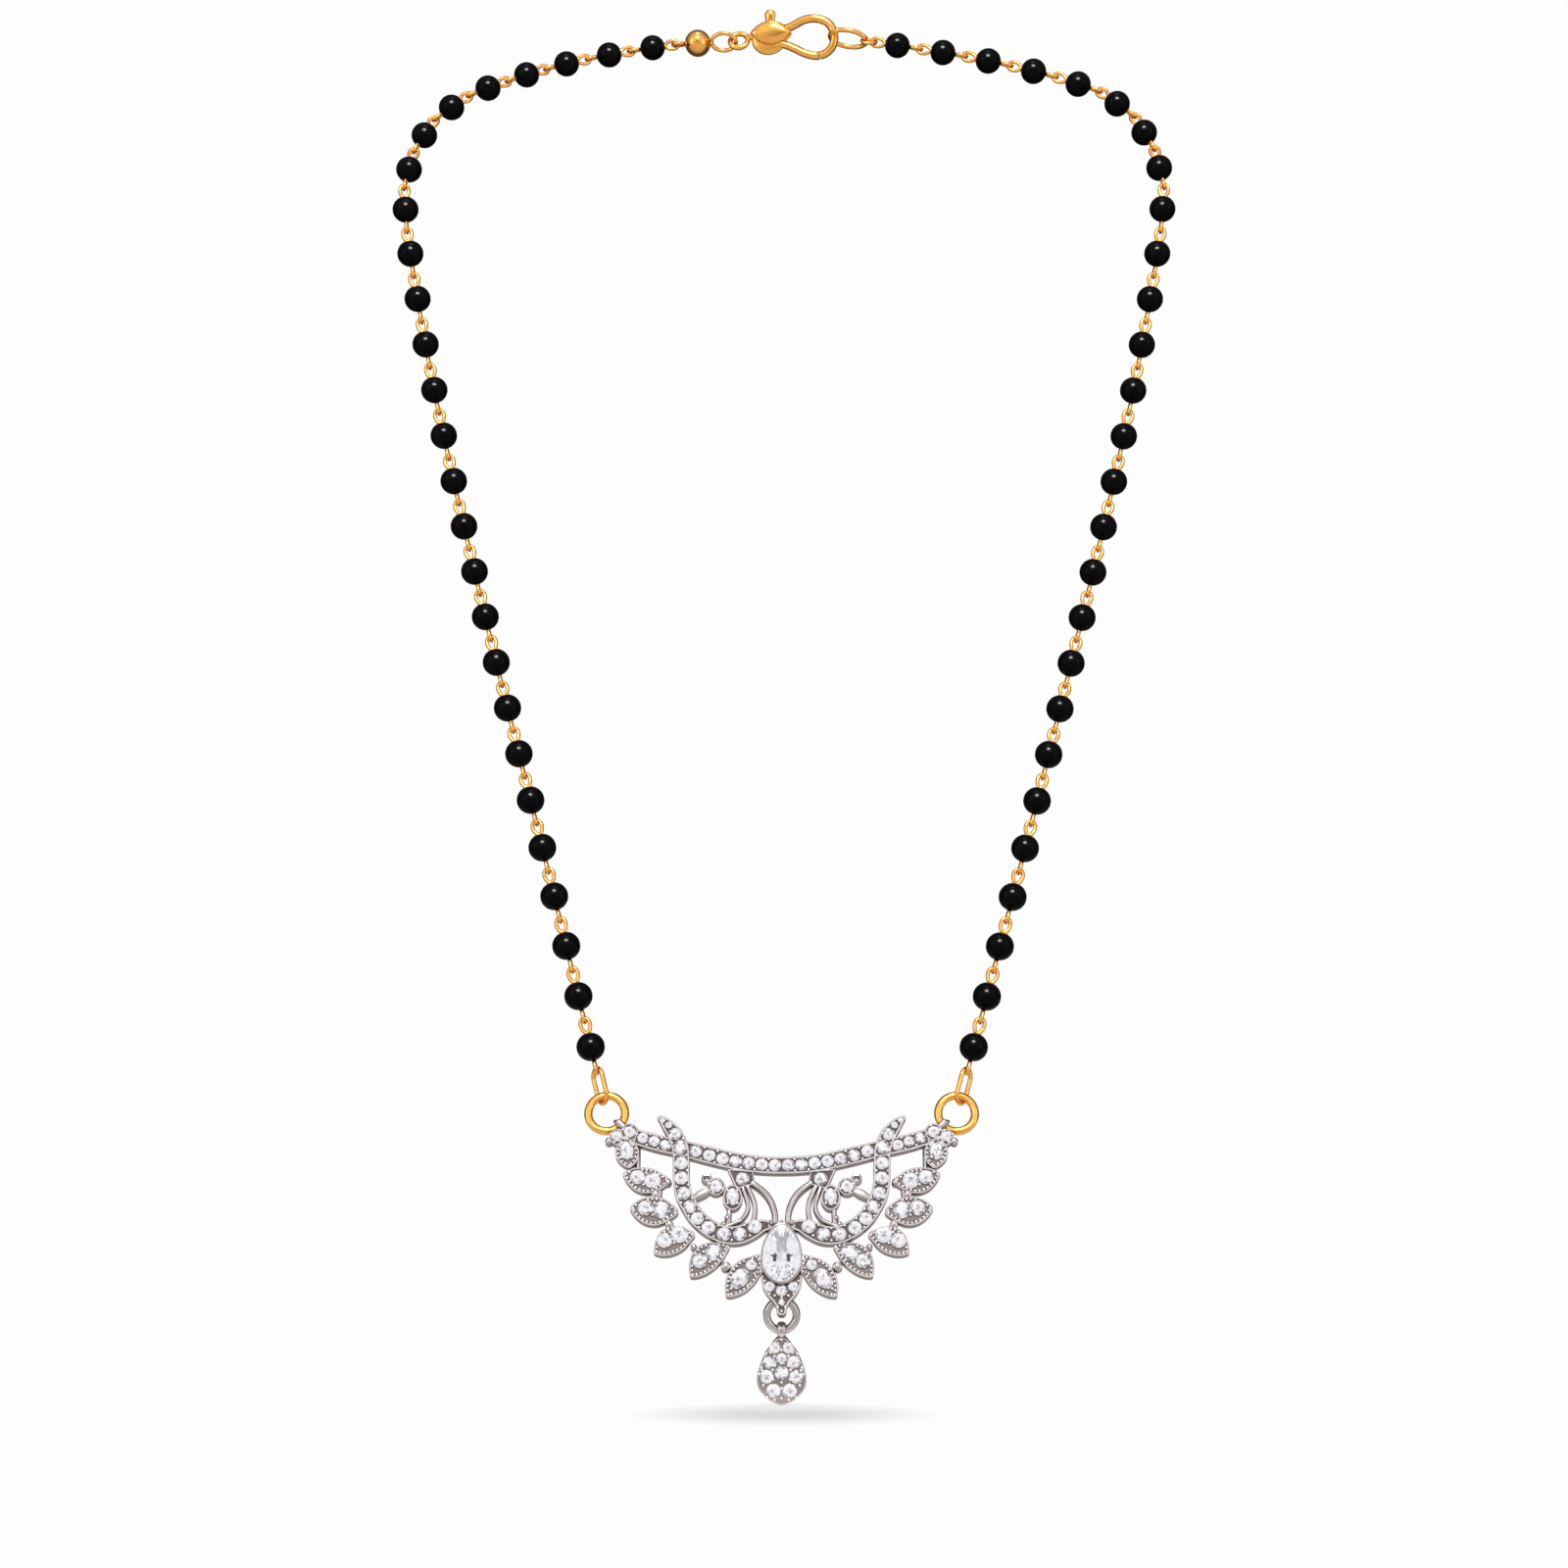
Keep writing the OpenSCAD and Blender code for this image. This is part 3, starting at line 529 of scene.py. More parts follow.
def wire(name, paths, thickness, coat, sides):
    """Round wire along paths: rows of (points, closed, share of the thickness at each point)."""
    curve = bpy.data.curves.new(name + "_path", "CURVE")
    curve.dimensions = "3D"
    for points, closed, shares in paths:
        line = curve.splines.new("POLY")
        line.points.add(len(points) - 1)
        line.use_cyclic_u = closed
        for k, p in enumerate(points):
            line.points[k].co = (*(np.asarray(p, dtype=float) * MM), 1)
            line.points[k].radius = shares[k] if shares else 1.0
    return run_tree(name, curve, DRAWN,
                    {"Thickness": thickness * MM, "Sides": sides, "Finish": coat})


def oval(across, up, centre, half_w, half_l, pointed=0.0, count=EYE_POINTS):
    """Points round an oval; pointed narrows its far end along up into a point."""
    ring = []
    for k in range(count):
        t = math.tau * k / count
        narrow = 1 - pointed * (1 - abs(math.sin(t / 2)))
        ring.append(np.asarray(centre) + half_w * narrow * math.sin(t) * np.asarray(across)
                    + half_l * math.cos(t) * np.asarray(up))
    return ring


def polish_marks(tree, height, strength):
    """The faint marks that a polishing wheel leaves, a fiftieth of a millimetre deep at most."""
    return node(tree, "ShaderNodeBump", None,
                {"Height": height, "Strength": strength, "Distance": 0.00002})


def yellow_gold(tree):
    drift = mottle(tree, 260.0, 3.0)
    grain = mottle(tree, 2400.0, 2.0)
    colour = ramp(tree, drift, [
        (0.30, (0.87, 0.385, 0.055)),
        (0.70, (0.96, 0.47, 0.09)),
    ])
    return {
        "Base Color": colour,
        "Metallic": 1.0,
        "Roughness": 0.11 + grain * 0.05,
        "Coat Weight": 0.6,
        "Coat Roughness": 0.05,
        "Normal": polish_marks(tree, grain, 0.015),
    }


gold = finish("polished_yellow_gold", yellow_gold)

X, Y, Z = np.eye(3)
low, high, centre = chain["left"][len(chain["left"]) // 2]
low_reach = np.linalg.norm(centre - low)
high_reach = np.linalg.norm(high - centre)
top_tip, low_tip = high_reach - PIN_WIRE / 2, low_reach - PIN_WIRE / 2
top_half = (top_tip - bead_r + EYE_SINK) / 2
low_half = (low_tip - bead_r + EYE_SINK) / 2
top_w, low_w = TOP_EYE_W / 2 - PIN_WIRE / 2, LOW_EYE_W / 2 - PIN_WIRE / 2
top_eye = oval(X, -Z, (0, 0, top_tip - top_half), top_w, top_half, TOP_EYE_POINT)
low_eye = oval(Y, Z, (0, 0, low_half - low_tip), low_w, low_half, LOW_EYE_POINT)
shank = [(0, 0, -bead_r - SHANK_OUT), (0, 0, 0), (0, 0, bead_r + SHANK_OUT)]
pin_paths = [(top_eye, True, None), (low_eye, True, None), (shank, False, None)]
pin = wire("one_pin", pin_paths, PIN_WIRE, gold, sides=8)
for side in chain:
    pins = strung("eye_pins_" + side, places[side], pin, gold)
    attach(pins, "necklace")
    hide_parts("pins_" + side)
bpy.data.objects.remove(pin)


# The clasp.
# A lobster clasp cast in yellow gold and polished: two domed cheeks on a hook with a base ring, and
# between them a lever with a thumb tab, which turns on the rivet and shuts the hook.
# Its plan is in millimetres from the rivet: x along the chain, y up, z to the front.
NAPE_X = -1.45
NAPE_TURN = -9
RIVET = (-0.8, 0.8, 0)
CHEEK_AT = (0.36, 0.95)
CHEEK_L = 6.0
CHEEK_H = 3.5
CHEEK_POINT = 0.62
CHEEK_SIDES = 48
CHEEK_TOP = 1.3
# Share of the cheek's outline and height over the lever's middle, from its edge to its top
CHEEK_ROWS = [(0.97, 0.55), (1, 0.6), (1, 0.7), (0.965, 0.85), (0.88, 1.0), (0.72, 1.14),
              (0.5, 1.23), (0.25, 1.29)]
# Radius and height of the turned parts
HUB_ROWS = [(0, -0.45), (1.5, -0.45), (1.84, -0.4), (2.05, -0.28), (2.17, -0.12), (2.2, 0),
            (2.17, 0.12), (2.05, 0.28), (1.9, 0.38), (1.83, 0.34), (1.74, 0.42), (1.5, 0.45),
            (0, 0.45)]
TAB_ROWS = [(0, 1.2), (0.62, 1.2), (0.6, 2.2), (0.62, 2.7), (0.73, 3.05), (0.8, 3.45), (0.8, 3.8),
            (0.7, 4.15), (0.45, 4.4), (0, 4.5)]
TAB_X = 0.2
TAB_FLAT = 0.6
HOOK_ARM = [(0.9, 1.6), (1.8, 1.55), (2.7, 1.65), (3.68, 2.02), (4.6, 2.5), (5.6, 2.86),
            (6.9, 2.94), (8.37, 2.5), (9.3, 1.6), (9.75, 0.1), (9.5, -1.15), (8.9, -1.92),
            (8.2, -2.36), (7.62, -2.51)]
GATE = [(0.9, -0.6), (2.4, -0.75), (3.9, -1.4), (5.4, -2.15), (6.8, -2.54), (7.5, -2.53)]
HUB_WIDE = 1.15
ARM_D = 1.22
# The hook thins over the last share of its length, and the gate is thicker over its first
HOOK_THIN, HOOK_THIN_FROM = 0.22, 0.75
GATE_ROOT, GATE_ROOT_L = 0.4, 0.4
# x, y, diameter over all, thickness
BASE_RING = (-4.45, 0.05, 3.35, 0.75)
BASE_RING_TURN = -27
NECK = [(-3.35, 0.4), (-2.9, 0.5), (-2.2, 0.7)]
NECK_D = 0.95

on_clasp = (Matrix.Translation((NAPE_X * MM, 0, 0))
            @ Matrix.Rotation(math.radians(NAPE_TURN), 4, "Z")
            @ Matrix.Rotation(math.radians(90), 4, "X")
            @ Matrix.Translation([c * MM for c in RIVET])
            @ Matrix.Scale(MM, 4))


def smooth(rows, steps):
    """A smooth curve through rows of numbers, with steps points between each two."""
    rows = np.asarray(rows, dtype=float)
    last = len(rows) - 1
    out = []
    for i in range(last):
        a, b, c, d = rows[max(i - 1, 0)], rows[i], rows[i + 1], rows[min(i + 2, last)]
        for k in range(steps):
            t = k / steps
            out.append((2 * b + (c - a) * t + (2 * a - 5 * b + 4 * c - d) * t ** 2
                        + (3 * b - a - 3 * c + d) * t ** 3) / 2)
    return np.array(out + [rows[last]])


def on_rivet(x, y):
    """A point of the clasp's plan in the part's frame, in millimetres."""
    return in_part(on_clasp, (x, y, 0))


def clasp_axis(x, y, z):
    """A direction of the clasp's plan in the part's frame."""
    return unit(np.array(on_clasp.to_3x3() @ Vector((x, y, z))))


def in_place(name, shape, place, coat, flat=30.0):
    """Keeps a shape drawn in a plan's own millimetres as an object in the part's frame."""
    bmesh.ops.transform(shape, matrix=place, verts=shape.verts)
    bmesh.ops.recalc_face_normals(shape, faces=shape.faces)
    for face in shape.faces:
        face.smooth = True
    for edge in shape.edges:
        edge.smooth = len(edge.link_faces) == 2 and edge.calc_face_angle(0) < math.radians(flat)
    mesh = kept_mesh(name, shape)
    mesh.materials.append(coat)
    return link_up(name, mesh)


def joined(name, parts, *cad_nodes, body="necklace", slot="clear_stone"):
    """Several meshes kept as one object on one body."""
    shape = bmesh.new()
    for part in parts:
        shape.from_mesh(part.data)
    for face in shape.faces:
        face.material_index = 0
    mesh = kept_mesh(name, shape)
    mesh.materials.append(next(coat for coat in parts[0].data.materials if coat))
    for part in parts:
        bpy.data.objects.remove(part)
    made = link_up(name, mesh)
    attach(made, body)
    if cad_nodes:
        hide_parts(*cad_nodes)


def strung_once(name, places, piece, coat):
    """A piece repeated at places, and not needed after that."""
    made = strung(name, places, piece, coat)
    bpy.data.objects.remove(piece)
    return made


def lever_part(name, rows, sides, stretch, at, along):
    """A turned part of the lever, stretched across its axis and stood on the clasp's plan."""
    mesh = turned("one_" + name, rows, sides)
    mesh.transform(Matrix.Diagonal((*stretch, 1, 1)))
    place = (on_rivet(*at), clasp_axis(*along), clasp_axis(1, 0, 0), 1.0)
    return strung_once(name, [place], link_up("one_" + name, mesh), gold)


cheeks = bmesh.new()
for way in (-1, 1):
    rings = []
    for share, z in CHEEK_ROWS:
        ring = []
        for k in range(CHEEK_SIDES):
            t = math.tau * k / CHEEK_SIDES
            tall = math.sin(t) * abs(math.sin(t)) ** CHEEK_POINT
            ring.append(cheeks.verts.new((CHEEK_AT[0] + share * CHEEK_L / 2 * math.cos(t),
                                          CHEEK_AT[1] + share * CHEEK_H / 2 * tall, way * z)))
        rings.append(ring)
    rings.append([cheeks.verts.new((*CHEEK_AT, way * CHEEK_TOP))])
    cheeks.faces.new(rings[0])
    for low, high in zip(rings, rings[1:]):
        bridged(cheeks, low, high)
cheek_pair = in_place("clasp_cheeks", cheeks, on_clasp, gold, flat=50.0)
ring_x, ring_y, ring_d, ring_wire = BASE_RING
ring_r = (ring_d - ring_wire) / 2
tilt = math.radians(BASE_RING_TURN)
ring_line = oval(clasp_axis(1, 0, 0), clasp_axis(0, math.cos(tilt), math.sin(tilt)),
                 on_rivet(ring_x, ring_y), ring_r, ring_r, count=40)
base_ring = wire("base_ring", [(ring_line, True, None)], ring_wire, gold, sides=18)
hook_line = [on_rivet(*p) for p in smooth(HOOK_ARM, 6)]
hook_shares = [1 - HOOK_THIN * max(0, k / len(hook_line) - HOOK_THIN_FROM) / (1 - HOOK_THIN_FROM)
               for k in range(len(hook_line))]
hook_arm = wire("hook_arm", [(hook_line, False, hook_shares)], ARM_D, gold, sides=20)
neck_line = [on_rivet(*p) for p in smooth(NECK, 4)]
neck = wire("clasp_neck", [(neck_line, False, None)], NECK_D, gold, sides=18)
joined("clasp_case", [cheek_pair, base_ring, hook_arm, neck], "clasp_body", slot="gold")

hub = lever_part("clasp_hub", HUB_ROWS, 56, (HUB_WIDE, 1), (0, 0), (0, 0, 1))
tab = lever_part("thumb_tab", TAB_ROWS, 28, (1, TAB_FLAT), (TAB_X, 0), (0, 1, 0))
gate_line = [on_rivet(*p) for p in smooth(GATE, 6)]
gate_shares = [1 + GATE_ROOT * max(0, 1 - k / len(gate_line) / GATE_ROOT_L)
               for k in range(len(gate_line))]
gate = wire("hook_gate", [(gate_line, False, gate_shares)], ARM_D, gold, sides=20)
joined("clasp_lever_made", [hub, tab, gate], "clasp_lever", body="clasp_lever", slot="gold")


# The gold ball and its pin.
# A hollow ball of yellow gold, pierced through, on an eye pin of its own: a small eye to the chain
# and a long eye in the clasp's base ring.
# Radii of the ball across and along its pin, and of its bore
BALL_ACROSS = 1.98
BALL_ALONG = 1.9
BALL_BORE = 0.4
BALL_ROWS = 24
BALL_SIDES = 48
BALL_WIRE = 0.6
BALL_SHANK = (2.3, 2.1)
BALL_EYE_FROM = 0.6
BALL_EYE_SINK = 0.1
ball_at = middle_of(solids("gold_ball")[0])
pin_points = solids("ball_pin")[0]
ball_line = np.linalg.svd(pin_points - pin_points.mean(axis=0), full_matrices=False)[2][0]
ball_line = ball_line * np.sign(ball_line[0])
ball_rows = bored_rows(BALL_ACROSS, BALL_ALONG, BALL_BORE, BALL_ROWS)
ball_piece = link_up("one_ball", turned("one_ball", ball_rows, BALL_SIDES))
ball_place = (ball_at, ball_line, facing(ball_line), 1.0)
ball = strung_once("gold_ball_made", [ball_place], ball_piece, gold)
joined("ball", [ball], "gold_ball", slot="gold")
reach = (pin_points - ball_at) @ ball_line
shank = [ball_at - ball_line * BALL_SHANK[0], ball_at + ball_line * BALL_SHANK[1]]
ball_paths = [(shank, False, None)]
for way in (-1, 1):
    far = np.abs(reach[reach * way > 0]).max()
    eye = (pin_points - ball_at)[reach * way > BALL_ALONG + BALL_EYE_FROM]
    flat = eye - np.outer(eye @ ball_line, ball_line)
    wide = np.linalg.svd(flat - flat.mean(axis=0), full_matrices=False)[2][0]
    half_l = (far - BALL_ALONG + BALL_EYE_SINK) / 2
    half_w = np.abs(flat @ wide).max() - PIN_WIRE / 2
    line = oval(wide, ball_line * way, ball_at + ball_line * way * (far - half_l), half_w,
                half_l - PIN_WIRE / 2, count=28)
    ball_paths.append((line, True, None))
ball_wire = wire("ball_wire", ball_paths, BALL_WIRE, gold, sides=14)
joined("ball_pin_made", [ball_wire], "ball_pin", slot="gold")


# The pendant's frame.
# White gold with a faint pink, cast in one piece and pierced: a curved bar, a band that sweeps
# across it on each side, leaves, arcs and twigs, each a shallow tray with a raised rim.
# Every plan is drawn on hundredths of the pendant's width: u outwards, v up, w to the front.
PENDANT_W = 44.4
SHARE = PENDANT_W / 100
PENDANT_AT = (-0.3, -69.4, -156.9)
PENDANT_LEAN = 22.0
PLATE_T = 1.5
RIM_W = 0.27
SLIM_RIM, LOBE_RIM, OVAL_RIM = 0.22, 0.2, 0.24
RIM_ROUND = 0.07
TRAY_DOWN = 0.24
BACK_ROUND = 0.05
BAR_ROUND = 0.35
BAR_BACK_ROUND = 0.03
# Share of shade painted into a face's colour: on a rim, on an outer wall, down in a tray and in a
# leaf's tray
BRIGHT, WALL, DEEP, LEAF_DEEP = 0.0, 0.55, 1.0, 0.62

# u, v and width along each strip
BAR = [(0, 0.1, 5), (7, 0.4, 5), (13.1, 1.3, 5), (20.7, 3.1, 5), (28, 5, 4.8), (35, 6.6, 4.8),
       (42, 8.6, 4.6)]
BAND = [(35.3, 14.3, 0.8), (33.6, 13, 2.6), (31.9, 11, 3.8), (30.2, 8.6, 4.5), (28.9, 5, 4.8),
        (28.6, 0.6, 4.8), (28.5, -4, 4.8), (27.8, -8.3, 4.8), (26, -12.1, 4.8), (23.7, -15.4, 4.9),
        (20.4, -18.2, 5), (16.2, -20.2, 5.2), (11.8, -20.2, 5.4), (7.8, -18.5, 5),
        (5.2, -17.6, 3.6), (3.2, -17.6, 2.4)]
# tip u and v, root u and v, width, camber
LEAVES = [(43.2, -0.8, 44.9, 8.8, 6.8, 0), (45.1, -2.4, 31.7, -4.6, 7.6, -0.9),
          (42.9, -12.5, 29.3, -13.4, 8.5, -0.3), (35.9, -25.4, 24.7, -19.7, 8, 1.1),
          (25.6, -32.2, 14.9, -23, 7.8, 1.3), (15.4, -37.9, 5.4, -26, 7.8, 0.4)]
# share of a leaf's length and half width, from its tip
LEAF = [(0, 0.04), (0.1, 0.24), (0.25, 0.41), (0.4, 0.49), (0.55, 0.5), (0.7, 0.43), (0.85, 0.27),
        (0.96, 0.14), (1, 0.06)]
TWIG_ARM = [(20, -7.2, 1.0), (22, -7.9, 2.4), (24, -9, 2.2), (25.9, -10.4, 0.9)]
STEM = [(14.8, -12.4, 1.4), (15.1, -18.6, 1.6)]
OUTER_ARC = [(9, -4.6, 1.6), (5.2, -7.4, 1.8), (3, -10.5, 1.8), (1.9, -14, 1.7), (1.9, -17.4, 1.8)]
INNER_ARC = [(9.9, -5.6, 1.2), (7.8, -10.5, 1.4), (7.7, -14.5, 1.4), (8.8, -18, 1.2)]
CRESCENT = [(11.2, -6, 1.2), (9.5, -11.5, 1.3), (10.9, -15.2, 1.2), (13.2, -16.7, 1.2),
            (16.4, -18, 1.2)]
STRUT = [(41, 6, 1.4), (41, -2.2, 1.4)]
LEAF_STRUT = [(34.6, -6, 1.4), (34.8, -10.4, 1.4)]
KITE = [(15.4, -1), (8, -1.6), (7.6, -5.4), (12.8, -7)]
# u, v, radius; the oval has a second one
END_LOBES = [(46.7, 8.4, 2.5), (43.5, 9.8, 2.6)]
KNOBS = [(49.3, 7.3, 1.1), (32.3, -4.8, 1.0), (35.8, -8.3, 1.2), (31.8, -17, 1.2),
         (24.8, -23.6, 0.9), (15.7, -29.2, 1.4), (6.1, -27.4, 1.1), (15.4, -15.2, 0.8),
         (16.4, -17, 0.8)]
TWIG = (18.6, -6.2, 2.6)
OVAL = (13.9, -9.4, 2.8, 3.8)
KNOB_RING = (21.3, -3.8, 1.5)
# v and half width, down the middle
COLLET = [(-16.2, 1.4), (-18.3, 3.1), (-21, 4.6), (-25, 5.7), (-29, 6.2), (-32, 5.8), (-35, 5.3),
          (-37.5, 4), (-39.3, 2.4), (-41, 1.5), (-42.4, 1.3), (-43.2, 0.7)]
PEAR = [(-17.5, 0.7), (-18.6, 2.2), (-20.8, 3.8), (-23.6, 4.85), (-26.5, 5.3), (-29, 5.25),
        (-31.2, 4.3), (-33, 2.6), (-33.9, 0.8)]

on_pendant = (Matrix.Translation([c * MM for c in PENDANT_AT])
              @ Matrix.Rotation(math.radians(90 - PENDANT_LEAN), 4, "X") @ Matrix.Scale(MM, 4))


def turned_left(outline):
    """The outline's points in anticlockwise order."""
    p = np.asarray(outline)
    q = np.roll(p, -1, axis=0)
    area = (p[:, 0] * q[:, 1] - q[:, 0] * p[:, 1]).sum()
    return p if area > 0 else p[::-1]


def ribbon(rows, side):
    """The outline of a strip along rows of u, v and width, in millimetres."""
    c = smooth(rows, 5) * SHARE
    c[:, 0] *= side
    run = np.gradient(c[:, :2], axis=0)
    run /= np.linalg.norm(run, axis=1)[:, None]
    out = np.stack([run[:, 1], -run[:, 0]], axis=1) * c[:, 2:] / 2
    return turned_left(np.concatenate([c[:, :2] + out, (c[:, :2] - out)[::-1]]))


def leaf_plan(row, side):
    """A leaf's outline from its tip, root, width and camber."""
    tip_u, tip_v, root_u, root_v, width, camber = row
    tip = np.array([side * tip_u, tip_v]) * SHARE
    root = np.array([side * root_u, root_v]) * SHARE
    run = root - tip
    up = side * unit((run[1], -run[0]))
    rows = smooth(LEAF, 4)
    edge = [[tip + t * run + SHARE * (way * w * width + camber * 4 * t * (1 - t)) * up
             for t, w in rows] for way in (1, -1)]
    return turned_left(np.array(edge[0] + edge[1][::-1]))


def round_plan(u, v, r, side, across=None, count=24):
    """A disc's outline, or an oval's where across gives its second radius."""
    across = across or r
    return np.array([((side * u + r * math.cos(t)) * SHARE, (v + across * math.sin(t)) * SHARE)
                     for t in (math.tau * k / count for k in range(count))])


def both_sides(rows, steps=4, share=SHARE):
    """An outline from rows of v and half width, the same on both sides of the middle."""
    c = smooth(rows, steps) * share
    right = np.stack([c[:, 1], c[:, 0]], axis=1)
    left = np.stack([-c[:, 1], c[:, 0]], axis=1)[::-1]
    return turned_left(np.concatenate([right, left]))


def paired(rows):
    """Each row on both sides of the middle, left first; a row on the middle stays single."""
    return [(way * u, *rest) for u, *rest in rows for way in ((-1, 1) if u else (1,))]


def grown(outline, by):
    """The outline moved outwards by a distance."""
    p = turned_left(outline)
    run = np.roll(p, -1, axis=0) - p
    run /= np.linalg.norm(run, axis=1)[:, None] + 1e-12
    out = np.stack([run[:, 1], -run[:, 0]], axis=1)
    before = np.roll(out, 1, axis=0)
    meet = (out + before) / np.maximum(1 + (out * before).sum(axis=1), 0.5)[:, None]
    return p + meet * by


def raised(shape, outline, steps, hollow=False):
    """A solid on an outline: steps are rows of (how far in, height, shade), back to front."""
    shade = shape.faces.layers.float.get("recess") or shape.faces.layers.float.new("recess")
    rings = [[shape.verts.new((x, y, w)) for x, y in grown(outline, -inset)]
             for inset, w, _ in steps]
    walls = list(zip(rings, rings[1:], [row[2] for row in steps[1:]]))
    if hollow:
        walls.append((rings[-1], rings[0], steps[0][2]))
    for low, high, dark in walls:
        for face in bridged(shape, low, high):
            face[shade] = dark
    if not hollow:
        shape.faces.new(rings[0][::-1])[shade] = WALL
        shape.faces.new(rings[-1])[shade] = steps[-1][2]


def tray(shape, outline, up=0.0, rim=RIM_W, floor_shade=DEEP):
    """A plate with a raised, rounded rim round a lower floor."""
    back, r = up / 4 - PLATE_T, RIM_ROUND
    raised(shape, outline, [
        (BACK_ROUND, back, WALL), (0, back + BACK_ROUND, WALL), (0, up - r * 1.5, WALL),
        (r * 0.4, up - r * 0.4, BRIGHT), (r, up, BRIGHT), (rim - r * 0.5, up, BRIGHT),
        (rim, up - r * 0.5, BRIGHT), (rim + 0.02, up - TRAY_DOWN, floor_shade)])


def domed(shape, outline, half_w, top):
    """A plate whose front is rounded over, as on a half-round bar."""
    round_up = min(half_w, BAR_ROUND)
    arc = [(half_w * (1 - math.cos(a)), top - round_up * (1 - math.sin(a)))
           for a in (math.radians(d) for d in (0, 25, 50, 72))]
    raised(shape, outline, [
        (BAR_BACK_ROUND, -PLATE_T, WALL), (0, -PLATE_T + BAR_BACK_ROUND, WALL), (*arc[0], WALL),
        *((*step, BRIGHT) for step in arc[1:])])


def white_gold(tree):
    drift = mottle(tree, 300.0, 3.0)
    grain = mottle(tree, 3000.0, 2.0)
    recess = node(tree, "ShaderNodeAttribute", {"attribute_name": "recess"}, None, "Fac")
    # Painted shade: the recess value darkens outer walls and tray floors below the rims' colour.
    colour = ramp(tree, recess + drift * 0.24 - 0.06, [
        (0.0, (0.55, 0.505, 0.50)),
        (0.12, (0.42, 0.376, 0.37)),
        (0.55, (0.22, 0.186, 0.18)),
        (1.0, (0.11, 0.086, 0.082)),
    ])
    return {
        "Base Color": colour,
        "Metallic": 1.0,
        "Roughness": 0.12 + grain * 0.08,
        "Normal": polish_marks(tree, grain, 0.03),
    }


# A lighter copy of the white gold for the grains, painted lighter for the light they catch.
def bright_white_gold(tree):
    drift = mottle(tree, 700.0, 2.0)
    colour = ramp(tree, drift, [
        (0.3, (0.74, 0.70, 0.70)),
        (0.7, (0.88, 0.85, 0.85)),
    ])
    return {
        "Base Color": colour,
        "Metallic": 1.0,
        "Roughness": 0.26 + drift * 0.12,
    }


pale_metal = finish("polished_white_gold", white_gold)
metal_painted_light = finish("bright_white_gold", bright_white_gold)
# Height of the front of each part over the bar's
BAND_UP = 0.18
LEAF_UP, LEAF_STEP = -0.02, 0.03
LOBE_UP, LOBE_STEP = 0.05, 0.04
TWIG_UP = 0.1
OVAL_UP = 0.14
KITE_UP = 0.12
KNOB_UP = 0.16
HALF_ROUNDS = [(OUTER_ARC, 0.14), (INNER_ARC, 0.1), (CRESCENT, 0.06), (STEM, 0.0), (TWIG_ARM, 0.0),
               (STRUT, -0.5), (LEAF_STRUT, -0.3)]
frame_shape = bmesh.new()
tray(frame_shape, both_sides(COLLET))
tray(frame_shape, ribbon([(-u, v, w) for u, v, w in BAR[:0:-1]] + BAR, 1))
for side in (-1, 1):
    tray(frame_shape, ribbon(BAND, side), up=BAND_UP)
    for k, row in enumerate(LEAVES):
        tray(frame_shape, leaf_plan(row, side), LEAF_UP - LEAF_STEP * (k % 2), SLIM_RIM,
             LEAF_DEEP)
    for k, lobe in enumerate(END_LOBES):
        tray(frame_shape, round_plan(*lobe, side), LOBE_UP + LOBE_STEP * k, LOBE_RIM)
    tray(frame_shape, round_plan(*TWIG, side), TWIG_UP, SLIM_RIM)
    tray(frame_shape, round_plan(*OVAL[:3], side, OVAL[3]), OVAL_UP, OVAL_RIM)
    kite = turned_left(np.array([(side * u * SHARE, v * SHARE) for u, v in KITE]))
    tray(frame_shape, kite, KITE_UP, LOBE_RIM)
    for rows, top in HALF_ROUNDS:
        domed(frame_shape, ribbon(rows, side), min(w for _, _, w in rows) * SHARE / 2, top)
    for u, v, r in KNOBS:
        domed(frame_shape, round_plan(u, v, r, side, count=16), r * SHARE, KNOB_UP)
    raised(frame_shape, round_plan(*KNOB_RING, side, count=20), [
        (0, -PLATE_T + 0.03, WALL), (0, 0.0, WALL), (0.1, 0.12, BRIGHT), (0.24, 0.14, BRIGHT),
        (0.32, 0.03, BRIGHT), (0.34, -PLATE_T, DEEP)], hollow=True)

# The centre stone's collet stands on the frame: a wall that follows the pear.
COLLET_UP = 0.44
COLLET_WALL = 0.26
pear = both_sides(PEAR)
raised(frame_shape, grown(pear, COLLET_WALL), [
    (0, -0.2, WALL), (0, COLLET_UP - 0.12, WALL), (0.06, COLLET_UP - 0.02, BRIGHT),
    (0.15, COLLET_UP, BRIGHT), (COLLET_WALL, COLLET_UP - 0.1, BRIGHT),
    (COLLET_WALL + 0.05, -0.2, DEEP)], hollow=True)

# The loops behind the frame, which hold the side rings and the drop's ring.
LOOP_WIRE = 0.4
RING_WIRE = 1.05
DROP_RING_WIRE = 1.0
LINK_PLAY = 0.12
CORNER_LOOP = (46.6, 13)
CORNER_LUG = (44.5, 10.9)
LUG_R = 1 * SHARE
LUG_UP = -0.05
LUG_STEPS = 8
TIP_LOOP_V = -37.9
for side in (-1, 1):
    lug = [(side * u * SHARE, v * SHARE) for u, v in (CORNER_LUG, CORNER_LOOP)]
    run = unit(np.subtract(lug[1], lug[0]))
    turn = math.atan2(run[1], run[0])
    outline = []
    for (x, y), start in ((lug[0], turn + math.pi / 2), (lug[1], turn - math.pi / 2)):
        for k in range(LUG_STEPS + 1):
            a = start + k * math.pi / LUG_STEPS
            outline.append((x + LUG_R * math.cos(a), y + LUG_R * math.sin(a)))
    domed(frame_shape, turned_left(np.array(outline)), LUG_R, LUG_UP)
pendant_frame = in_place("pendant_frame", frame_shape, on_pendant, pale_metal)


